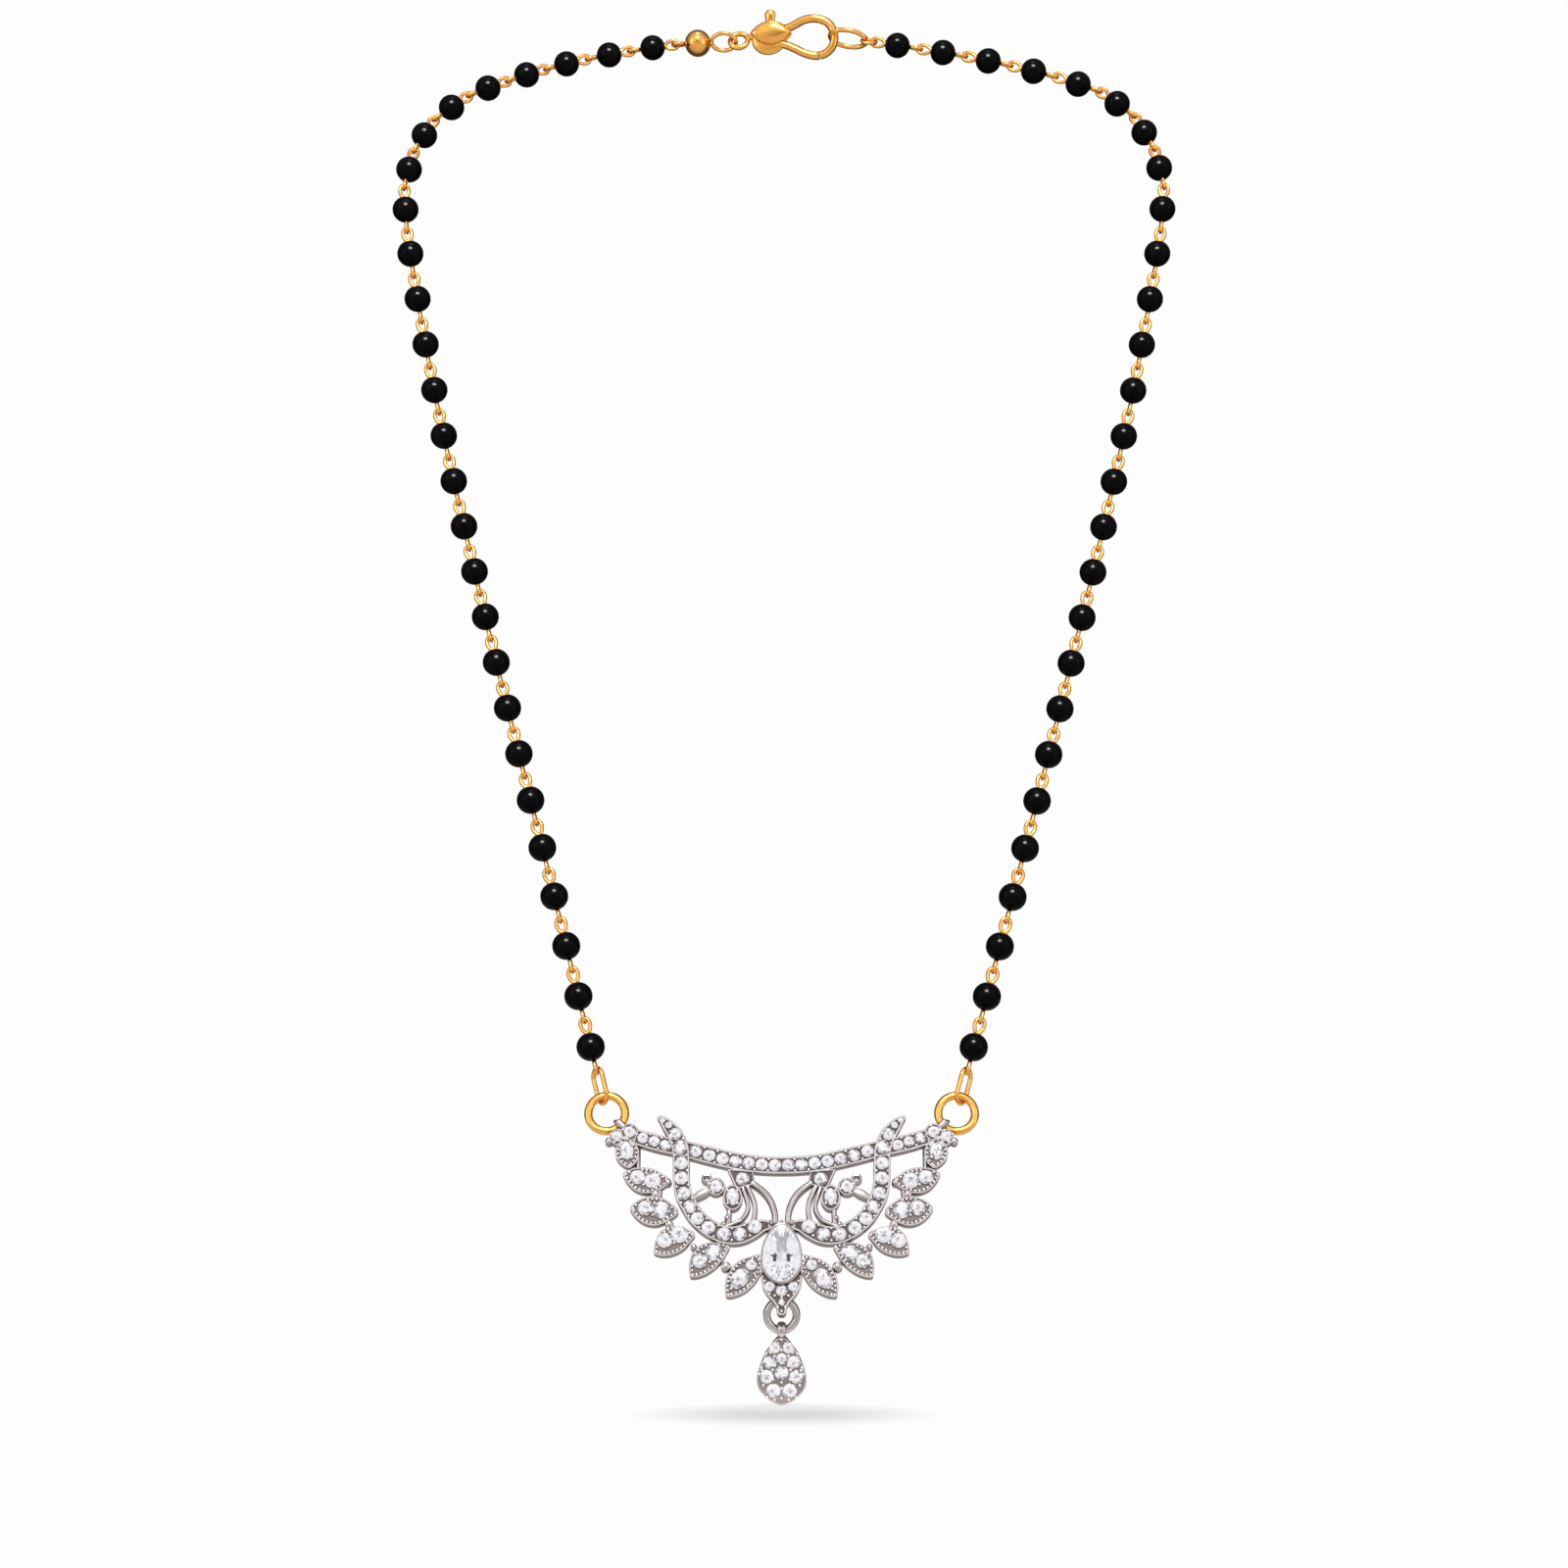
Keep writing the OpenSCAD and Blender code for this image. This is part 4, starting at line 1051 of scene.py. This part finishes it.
def on_plan(points):
    """Points of the pendant's plan, in the part's frame, in millimetres."""
    return [in_part(on_pendant, p) for p in points]


loops = []
corner_r = RING_WIRE / 2 + LINK_PLAY + LOOP_WIRE / 2
for side in (-1, 1):
    at = np.array([side * CORNER_LOOP[0] * SHARE, CORNER_LOOP[1] * SHARE,
                   -PLATE_T - RING_WIRE / 2 - LINK_PLAY])
    line = oval(unit((side, 1, 0)), (0, 0, 1), at, corner_r, corner_r, count=24)
    loops.append((on_plan(line), True, None))
tip_r = DROP_RING_WIRE / 2 + LINK_PLAY + LOOP_WIRE / 2
tip_at = np.array([0, TIP_LOOP_V * SHARE, -PLATE_T - DROP_RING_WIRE / 2 - LINK_PLAY])
loops.append((on_plan(oval((0, 1, 0), (0, 0, 1), tip_at, tip_r, tip_r, count=24)), True, None))
back_loops = wire("back_loops", loops, LOOP_WIRE, pale_metal, sides=12)
for piece in (pendant_frame, back_loops):
    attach(piece, "necklace")
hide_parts("setting")


# The small stones.
# Round and oval clear stones, cut with a table and three rows of facets. Each sits in a tray of the
# frame, with its edge just under the rim.
# u, v, radius
BAR_STONES = [(1.9, 0.1, 1.78), (5.65, 0.3, 1.78), (9.4, 0.7, 1.78), (13.1, 1.3, 1.78),
              (16.8, 2, 1.78), (20.6, 3, 1.78), (24.5, 4.2, 1.78), (33.1, 6, 1.65),
              (36.4, 7.1, 1.6), (39.6, 8.1, 1.6)]
BAND_STONES = [(34, 13.2, 0.75), (32.3, 11.8, 1.0), (30.5, 9.1, 1.8), (28.9, 5.2, 1.95),
               (28.6, 0.6, 1.9), (28.5, -3.8, 1.95), (27.8, -8.3, 1.95), (26, -12.2, 1.9),
               (23.8, -15.5, 1.9), (20.7, -18.2, 1.95), (16.3, -20.1, 2.0), (11.8, -20.1, 1.95),
               (7.6, -17.9, 2.0)]
LEAF_STONES = [(41, -3.4, 2.1), (36.7, -4.4, 2.35), (38.5, -12.4, 2.25), (34.0, -13, 2.5),
               (33, -21.8, 2.2), (28.8, -20.1, 2.5), (23, -27.7, 2.15), (19.2, -25.3, 2.4),
               (8.5, -28.8, 1.6)]
END_STONES = [(47.1, 8.6, 1.6), (43.4, 9.9, 1.7)]
# u, v, the two radii and the turn from upright, in degrees
END_OVAL = (44.2, 4.4, 1.95, 2.7, 0)
TWIG_OVAL = (13.9, -9.2, 1.75, 2.5, 0)
LEAF_PEAR = (11.8, -32.8, 2.35, 3.3, -38)
KITE_STONE = (11.1, -4.0, 2.0)
KITE_TURN = 20
KITE_SIDES = 8
KITE_TABLE = 0.62
TWIG_STONES = [(18.7, -6.1, 1.85)]
TIP_STONES = [(3.3, -35, 1.5), (-3.3, -35, 1.5), (0, -36.2, 1.65), (0, -39.6, 1.0)]
STONE_SINK = -0.02
END_STONE_UP = 0.06
PEAR_STONE_UP = 0.02
TIP_STONE_UP = 0.02
# Shares of a stone's radius: its table, crown, shoulder of the crown, edge and point
TABLE = 0.54
CROWN = 0.30
SHOULDER = 0.58
GIRDLE = 0.06
PAVILION = 0.72
STONE_SIDES = 16
CUTS = 4
chance = random.Random(7)


def cut_stone(name, outline, table=TABLE):
    """A cut stone on an even count of points round the origin, with painted light on each facet."""
    p = turned_left(outline)
    count = len(p)
    r = np.linalg.norm(p, axis=1).min()
    shape = bmesh.new()
    layer = shape.faces.layers.float.new("tone")
    rim = [shape.verts.new((x, y, 0)) for x, y in p]
    under = [shape.verts.new((x, y, -GIRDLE * r)) for x, y in p]
    evens, odds = range(0, count, 2), range(1, count, 2)
    tops = {k: shape.verts.new((*(p[k] * table), CROWN * r)) for k in evens}
    mids = {k: shape.verts.new((*(p[k] * (table + 1) / 2), CROWN * r * SHOULDER)) for k in odds}
    inner = {k: shape.verts.new((*(p[k] * table * 0.5), CROWN * r)) for k in odds}
    middle = shape.verts.new((0, 0, CROWN * r))
    point = shape.verts.new((0, 0, -(GIRDLE + PAVILION) * r))

    def facet(corners, low, high):
        shape.faces.new(corners)[layer] = chance.uniform(low, high)

    # Each facet's painted light: flashes and glints drawn at random.
    for k in evens:
        after, before, far = (k + 1) % count, (k - 1) % count, (k + 2) % count
        flash = chance.choice((0.3, 0.55, 0.8, 1.0, 1.0))
        facet([tops[k], mids[before], rim[k], mids[after]], flash - 0.1, flash)
        facet([tops[k], mids[after], tops[far]], 0.75, 1.0)
        facet([mids[after], rim[k], rim[after]], flash - 0.3, flash)
        facet([mids[after], rim[after], rim[far]], 0.3, 1.0)
        facet([tops[k], tops[far], inner[after]], 0.7, 1.0)
        glint = chance.choice((0.25, 0.55, 0.8, 1.0))
        facet([tops[k], inner[after], middle, inner[before]], glint - 0.1, glint)
    for k in range(count):
        j = (k + 1) % count
        facet([rim[k], under[k], under[j], rim[j]], 0.0, 0.4)
        facet([under[k], point, under[j]], 0.0, 0.8)
    bmesh.ops.recalc_face_normals(shape, faces=shape.faces)
    return link_up(name, kept_mesh(name, shape))


# The stones' sparkle is painted: each facet's value picks a colour from near black to pale for the
# light it would send back.
def clear_cut(tree):
    tone = node(tree, "ShaderNodeAttribute", {"attribute_name": "tone"}, None, "Fac")
    flicker = mottle(tree, 1500.0, 1.0)
    colour = ramp(tree, tone * 0.92 + flicker * 0.24 - 0.06, [
        (0.0, (0.01, 0.01, 0.012)),
        (0.14, (0.15, 0.145, 0.165)),
        (0.38, (0.33, 0.325, 0.365)),
        (0.62, (0.55, 0.55, 0.59)),
        (0.88, (0.73, 0.73, 0.755)),
    ])
    return {
        "Base Color": colour,
        "Roughness": 0.06,
        "IOR": 1.65,
    }


stone_finish = finish("cut_clear_stone", clear_cut)


def ngon(count, across=1.0):
    """A round outline of radius 1, or an oval one where across gives its second radius."""
    turns = (math.tau * k / count for k in range(count))
    return np.array([(math.cos(t), across * math.sin(t)) for t in turns])


right_u, up_v, up_w = (in_part(on_pendant.to_3x3(), axis) for axis in (X, Y, Z))


def seated(u, v, r, w, side=1, turn=None):
    """A stone's or grain's place on the pendant's plan: point, axes, and radius in metres."""
    a = chance.uniform(0, math.tau) if turn is None else turn
    at = in_part(on_pendant, (side * u * SHARE, v * SHARE, w))
    return (at, up_w, math.cos(a) * right_u + math.sin(a) * up_v, r * MM)


round_stones = [cut_stone("round_%d" % k, ngon(STONE_SIDES)) for k in range(CUTS)]


def oval_set(row, sides, lift):
    """An oval stone's mesh on each side, at its own turn."""
    u, v, r, across, turn = row
    cut = cut_stone("oval_cut", ngon(STONE_SIDES, across / r))
    places = [seated(u, v, r * SHARE, STONE_SINK + lift, side, math.radians(-side * turn))
              for side in sides]
    return strung_once("oval_set", places, cut, stone_finish)


def dealt(places):
    """Round stones' meshes, with the cuts dealt out in turn over the places."""
    return [strung("rounds_%d" % k, places[k::CUTS], cut, stone_finish)
            for k, cut in enumerate(round_stones) if places[k::CUTS]]


def rounds(rows, sides, lift=0.0):
    """Round stones' meshes on the plan."""
    return dealt([seated(u, v, r * SHARE, STONE_SINK + lift, side)
                  for side in sides for u, v, r in rows])


joined("bar_brilliants", rounds(BAR_STONES, (-1, 1)), "bar_stones")
for side, word in ((-1, "left"), (1, "right")):
    joined("band_brilliants_" + word, rounds(BAND_STONES, (side,), BAND_UP), "band_stones_" + word)
    joined("leaf_brilliants_" + word,
           rounds(LEAF_STONES, (side,)) + [oval_set(LEAF_PEAR, (side,), PEAR_STONE_UP)],
           "leaf_stones_" + word)
    joined("end_brilliants_" + word,
           rounds(END_STONES, (side,), END_STONE_UP) + [oval_set(END_OVAL, (side,), 0.0)],
           "end_stones_" + word)
kite_cut = cut_stone("kite_cut", ngon(KITE_SIDES), KITE_TABLE)
kite_u, kite_v, kite_r = KITE_STONE
kite_places = [seated(kite_u, kite_v, kite_r * SHARE, KITE_UP, side, math.radians(KITE_TURN))
               for side in (-1, 1)]
kites = strung_once("kites", kite_places, kite_cut, stone_finish)
joined("twig_brilliants",
       rounds(TWIG_STONES, (-1, 1), TWIG_UP) + [oval_set(TWIG_OVAL, (-1, 1), OVAL_UP), kites],
       "twig_stones")
joined("tip_brilliants", rounds(TIP_STONES, (1,), TIP_STONE_UP), "tip_stones")


# The grains.
# Tiny balls of the frame's own metal, raised between the stones and pushed over their edges to hold
# them. Four larger ones and a small one at the top are the claws of the centre stone's collet.
GRAIN_R = 0.21
GRAIN_SIDES = 10
GRAIN_ROWS = [(0, -1.6), (1, -1.6), (1, -0.1), (0.93, 0.3), (0.72, 0.66), (0.4, 0.9), (0, 1)]
# In hundredths of the pendant's width: how far grains stand off a row of stones, and the widest gap
# between two stones that holds a pair
GRAIN_OFF = 1.7
GRAIN_GAP = 6
# Along a leaf's edge: their spacing in the same hundredths, and how far in they are in millimetres
LEAF_GRAIN_GAP = 1.25
LEAF_GRAIN_IN = 0.36
# Height of their middles over the plate, in millimetres
LEAF_GRAIN_UP = -0.06
LEAF_PAIR_UP = -0.02
TIP_GRAIN_UP = -0.02
PEAR_GRAIN_UP = 0.02
ROUND_GRAIN_UP = 0.1
# u and v beside the leaf's pear stone, and round the tip's stones
PEAR_GRAINS = [(13.6, -29.6), (9.4, -34.6), (14.2, -35.6), (7.6, -31.4)]
TIP_GRAINS = paired([(0, -34), (0, -38.2), (1.9, -37.6), (4.7, -33.4), (3.4, -37),
                     (1.1, -40.8), (0, -42)])
# u, v and radius in millimetres
SIDE_CLAWS = [(5.9, -31, 0.36), (2.9, -16.8, 0.34)]
TOP_CLAW = (0, -16.3, 0.2)
CLAW_DOWN = 0.1
TOP_CLAW_DOWN = 0.25
grain = link_up("one_grain", turned("one_grain", [(r / MM, z / MM) for r, z in GRAIN_ROWS],
                                    GRAIN_SIDES))


def grains_between(rows, w):
    """Two grains in each gap of a row of stones, one on each side of the row's line."""
    out = []
    for (u0, v0, _), (u1, v1, _) in zip(rows, rows[1:]):
        if math.hypot(u1 - u0, v1 - v0) < GRAIN_GAP:
            run = unit((u1 - u0, v1 - v0))
            for way in (-1, 1):
                out.append(((u0 + u1) / 2 - way * run[1] * GRAIN_OFF,
                            (v0 + v1) / 2 + way * run[0] * GRAIN_OFF, w))
    return out


def grains_round(u, v, half_w, half_h, start):
    """Four grains round one stone, a quarter turn apart."""
    turns = (math.radians(start + 90 * k) for k in range(4))
    return [(u + half_w * math.cos(a), v + half_h * math.sin(a), ROUND_GRAIN_UP) for a in turns]


grain_rows = grains_between(BAR_STONES, 0.0) + grains_between(BAND_STONES[2:], BAND_UP)
for row in LEAVES:
    line = grown(leaf_plan(row, 1), -LEAF_GRAIN_IN) / SHARE
    line = np.concatenate([line, line[:1]])
    run = np.concatenate([[0], np.cumsum(np.linalg.norm(np.diff(line, axis=0), axis=1))])
    for spot in np.arange(0, run[-1] - LEAF_GRAIN_GAP / 2, LEAF_GRAIN_GAP):
        u, v = np.interp(spot, run, line[:, 0]), np.interp(spot, run, line[:, 1])
        if all(math.hypot(u - a, v - b) > r + 0.1 for a, b, r in LEAF_STONES):
            grain_rows.append((u, v, LEAF_GRAIN_UP))
for first, second in zip(LEAF_STONES[::2], LEAF_STONES[1::2]):
    gap = (np.array(first[:2]) + np.array(second[:2])) / 2
    across = unit((first[1] - second[1], second[0] - first[0]))
    for way in (-1, 1):
        grain_rows.append((*(gap + across * way * GRAIN_OFF), LEAF_PAIR_UP))
for u, v, r, across, _ in (END_OVAL, TWIG_OVAL):
    grain_rows += grains_round(u, v, r * 1.1, across * 1.05, 45)
for u, v, r in END_STONES + TWIG_STONES:
    grain_rows += grains_round(u, v, r * 1.15, r * 1.15, 20)
grain_rows += [(u, v, PEAR_GRAIN_UP) for u, v in PEAR_GRAINS]
grain_places = [seated(u, v, GRAIN_R, w, side) for side in (-1, 1) for u, v, w in grain_rows]
grain_places += [seated(u, v, GRAIN_R, TIP_GRAIN_UP) for u, v in TIP_GRAINS]
# Painted light: the grains wear the lighter copy of the frame's white gold.
joined("grains", [strung("grain_rows", grain_places, grain, metal_painted_light)], slot="white_gold")
claw_places = [seated(u, v, r, COLLET_UP - CLAW_DOWN, side)
               for side in (-1, 1) for u, v, r in SIDE_CLAWS]
claw_places.append(seated(*TOP_CLAW, COLLET_UP - TOP_CLAW_DOWN))
joined("claws", [strung("claw_tips", claw_places, grain, pale_metal)], slot="white_gold")


# The centre stone.
# A pear-shaped clear stone in its own collet: a flat table over rows of small facets, whose painted
# light shows pale in its sides, lilac in its middle and two dark flashes across its waist.
PEAR_MIDDLE = -28.0
PEAR_DOWN = 0.06
PEAR_ROWS = [(1.0, 0.0), (0.84, 0.16), (0.66, 0.26), (0.46, 0.262), (0.28, 0.264)]
PEAR_DEEP = 0.8
PEAR_EDGE = 0.08
# The painted dark flash on each side of the waist: its middle and half its size, in millimetres
FLASH_AT = (0.95, 0.35)
FLASH_HALF = (0.26, 0.5)
FLASH_PAINTED_LIGHT = -0.6
# How far from its middle line and how far up the other painted light values change: at the neck,
# round the heart and down in the belly
NECK_UP, NECK_IN = 2.9, (0.6, 1.2)
HEART = (0.75, -0.2)
BELLY = (1.5, -0.5)
CROWN_FROM = 0.1
pear_shape = bmesh.new()
pear_painted_light = pear_shape.faces.layers.float.new("tone")
pear_line = both_sides([(v - PEAR_MIDDLE, u) for v, u in PEAR], steps=2)
pear_line = pear_line[np.linalg.norm(pear_line - np.roll(pear_line, 1, axis=0), axis=1) > 0.05]
count = len(pear_line)
between = (pear_line + np.roll(pear_line, -1, axis=0)) / 2
pear_rings = []
for k, (share, w) in enumerate(PEAR_ROWS):
    line = (between if k % 2 else pear_line) * share
    pear_rings.append([pear_shape.verts.new((x, y, w)) for x, y in line])
pear_middle = pear_shape.verts.new((0, 0, PEAR_ROWS[-1][1]))
pear_point = pear_shape.verts.new((0, 0, -PEAR_DEEP))
pear_under = [pear_shape.verts.new((v.co.x, v.co.y, -PEAR_EDGE)) for v in pear_rings[0]]


def pear_facet(corners, low, high):
    """A facet of the pear, with painted light drawn between two values."""
    pear_shape.faces.new(corners)[pear_painted_light] = chance.uniform(low, high)


for k, (low, high) in enumerate(zip(pear_rings, pear_rings[1:])):
    pale, dim = ((0.7, 1.0), (0.4, 0.8)) if k < 2 else ((0.4, 0.9), (0.05, 0.55))
    for j in range(count):
        n = (j + 1) % count
        if k % 2 == 0:
            pear_facet([low[j], low[n], high[j]], *pale)
            pear_facet([high[j], low[n], high[n]], *dim)
        else:
            pear_facet([low[j], high[n], high[j]], *dim)
            pear_facet([low[j], low[n], high[n]], *pale)
for j in range(count):
    n = (j + 1) % count
    pear_facet([pear_rings[-1][j], pear_rings[-1][n], pear_middle], 0.2, 0.8)
    pear_facet([pear_rings[0][j], pear_under[j], pear_under[n], pear_rings[0][n]], 0.2, 0.5)
    pear_facet([pear_under[j], pear_point, pear_under[n]], 0.2, 0.9)
bmesh.ops.recalc_face_normals(pear_shape, faces=pear_shape.faces)
for face in pear_shape.faces:
    at = face.calc_center_median()
    across, up = abs(at.x), at.y
    if at.z < CROWN_FROM:
        continue
    if abs(across - FLASH_AT[0]) < FLASH_HALF[0] and abs(up - FLASH_AT[1]) < FLASH_HALF[1]:
        face[pear_painted_light] = FLASH_PAINTED_LIGHT
    elif up > NECK_UP or (across < NECK_IN[0] and up > NECK_IN[1]):
        face[pear_painted_light] = chance.uniform(0.2, 0.45)
    elif across < HEART[0] and up > HEART[1]:
        face[pear_painted_light] = chance.uniform(0.45, 0.75)
    elif across < BELLY[0] and up < BELLY[1]:
        face[pear_painted_light] = chance.choice((0.3, 0.55, 0.8, 1.0))
    else:
        face[pear_painted_light] = chance.uniform(0.6, 0.85)
pear_cut = link_up("pear_cut", kept_mesh("pear_cut", pear_shape))
pear_place = seated(0, PEAR_MIDDLE, 1.0, COLLET_UP - PEAR_DOWN, turn=0)
centre = strung_once("centre_pear_set", [pear_place], pear_cut, stone_finish)
joined("centre_pear", [centre], "centre_stone")


# The jump ring.
# Plain white-gold wire, bent round and soldered shut. It hangs in the loop behind the pendant's tip
# and carries the bail of the drop.
def round_ring(name, cad_node, thickness, coat, body, sides=20, count=56, rounded=False):
    """A CAD ring drawn again as smooth round wire, in the plane and place it has."""
    points = solids(cad_node)[0]
    middle = middle_of(points)
    axes = np.linalg.svd(points - middle, full_matrices=False)[2]
    long, wide = axes[0], axes[1]
    half_l = np.abs((points - middle) @ long).max() - thickness / 2
    half_w = np.abs((points - middle) @ wide).max() - thickness / 2
    straight = 0 if rounded else max(half_l - half_w, 0)
    end_r = half_l if rounded else half_w
    path = []
    for k in range(count):
        t = math.tau * (k + 0.5) / count
        end = straight if math.cos(t) > 0 else -straight
        path.append(middle + (end_r * math.cos(t) + end) * long + half_w * math.sin(t) * wide)
    made = wire(name, [(path, True, None)], thickness, coat, sides)
    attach(made, body)
    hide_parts(cad_node)


round_ring("jump_ring", "drop_ring", DROP_RING_WIRE, pale_metal, "drop_ring")


# The pear drop.
# A white-gold pear with a narrow rim, set with ten clear stones and with grains between them. It
# hangs on a bail that runs round the jump ring.
DROP_W = 6.2
DROP_T = 1.4
DROP_SHARE = DROP_W / 100
DROP_HINGE = (-0.3, -73.738, -176.996)
DROP_EDGE = [(-14, 9), (-26, 18.8), (-36, 26), (-46, 32.5), (-66, 41.6), (-86, 48), (-98, 50),
             (-111, 48.5), (-123, 42.5), (-135, 31), (-143, 20), (-149, 5)]
DROP_STONES = paired([(13.5, -34, 11.5), (0, -56, 11.5), (24, -63, 13), (30, -92, 14),
                      (0, -84, 14), (16.5, -120, 14.5)])
DROP_GRAINS = paired([(0, -17), (0, -38), (31, -45), (14, -50), (41, -73), (13, -69), (39, -79),
                      (17, -97), (0, -103), (0, -115), (37, -109), (45, -86), (0, -135),
                      (14, -138), (29, -133), (22, -43), (8, -25), (18, -78), (35, -60)])
BAIL_W = 1.1
BAIL_WALL = 0.32
BAIL_SIDES = 40
# Share of the bail's width, and how far out or in from the middle of its wall
BAIL_PROFILE = [(-0.5, -0.02), (-0.46, 0.07), (-0.36, 0.18), (-0.2, 0.26), (0, 0.3), (0.2, 0.26),
                (0.36, 0.18), (0.46, 0.07), (0.5, -0.02), (0.25, -0.12), (0, -0.15), (-0.25, -0.12)]
bail_r = DROP_RING_WIRE / 2 + LINK_PLAY + BAIL_WALL
on_drop = (Matrix.Translation([c * MM for c in DROP_HINGE])
           @ Matrix.Rotation(math.radians(90), 4, "X")
           @ Matrix.Scale(MM, 4))
drop_shape = bmesh.new()
edge = both_sides(DROP_EDGE, share=DROP_SHARE)
front = DROP_T / 2
raised(drop_shape, edge, [
    (0.12, -front, WALL), (0, -front + 0.14, WALL), (0, front - 0.16, WALL),
    (0.05, front - 0.04, BRIGHT), (0.11, front, BRIGHT), (0.22, front, BRIGHT),
    (0.27, front - 0.05, BRIGHT), (0.29, front - 0.2, 0.3)])
drop_plate = in_place("drop_plate", drop_shape, on_drop, pale_metal)

bail_shape = bmesh.new()
bail_rings = []
for k in range(BAIL_SIDES):
    t = math.tau * k / BAIL_SIDES
    ring = []
    for across, out in BAIL_PROFILE:
        r = bail_r - BAIL_WALL / 2 + out
        ring.append(bail_shape.verts.new((across * BAIL_W, r * math.sin(t), r * math.cos(t))))
    bail_rings.append(ring)
for ring, following in zip(bail_rings, bail_rings[1:] + bail_rings[:1]):
    bridged(bail_shape, ring, following)
bail = in_place("drop_bail", bail_shape, on_drop, pale_metal)
drop_up = in_part(on_drop.to_3x3(), Z)


def on_drop_face(x, y, r, w):
    """A stone's or grain's place on the drop's face, turned at random."""
    a = chance.uniform(0, math.tau)
    at = in_part(on_drop, (x * DROP_SHARE, y * DROP_SHARE, front + w))
    return (at, drop_up, (math.cos(a), 0, math.sin(a)), r * MM)


drop_places = [on_drop_face(x, y, r * DROP_SHARE, STONE_SINK) for x, y, r in DROP_STONES]
joined("drop_brilliants", dealt(drop_places), "drop_stones", body="drop")
drop_grain_places = [on_drop_face(x, y, GRAIN_R, 0.0) for x, y in DROP_GRAINS]
# Painted light: the drop's grains wear the lighter copy too.
drop_grains = strung("drop_grain_rows", drop_grain_places, grain, metal_painted_light)
joined("drop_grains", [drop_grains], body="drop", slot="white_gold")
joined("drop_setting_made", [drop_plate], "drop_setting", body="drop", slot="white_gold")
joined("bail", [bail], body="drop", slot="white_gold")
for made in round_stones + [grain]:
    bpy.data.objects.remove(made)


# The rings and oval links of the chain.
# Heavier gold wire, soldered shut: a ring through each corner of the pendant, an oval link from it
# to the last bead, and beside the clasp the link in its hook and a small ring to the last bead.
OVAL_LINK_WIRE = 0.6
HOOK_LINK_WIRE = 0.7
HOOK_RING_WIRE = 0.5
for word in ("left", "right"):
    round_ring("corner_ring_" + word, "side_ring_" + word, RING_WIRE, gold, "necklace")
    round_ring("oval_link_" + word, "side_link_" + word, OVAL_LINK_WIRE, gold, "necklace",
               sides=16)
round_ring("hook_link", "end_link", HOOK_LINK_WIRE, gold, "necklace", sides=16,
           rounded=True)
round_ring("hook_ring", "small_ring", HOOK_RING_WIRE, gold, "necklace", sides=14, count=32)
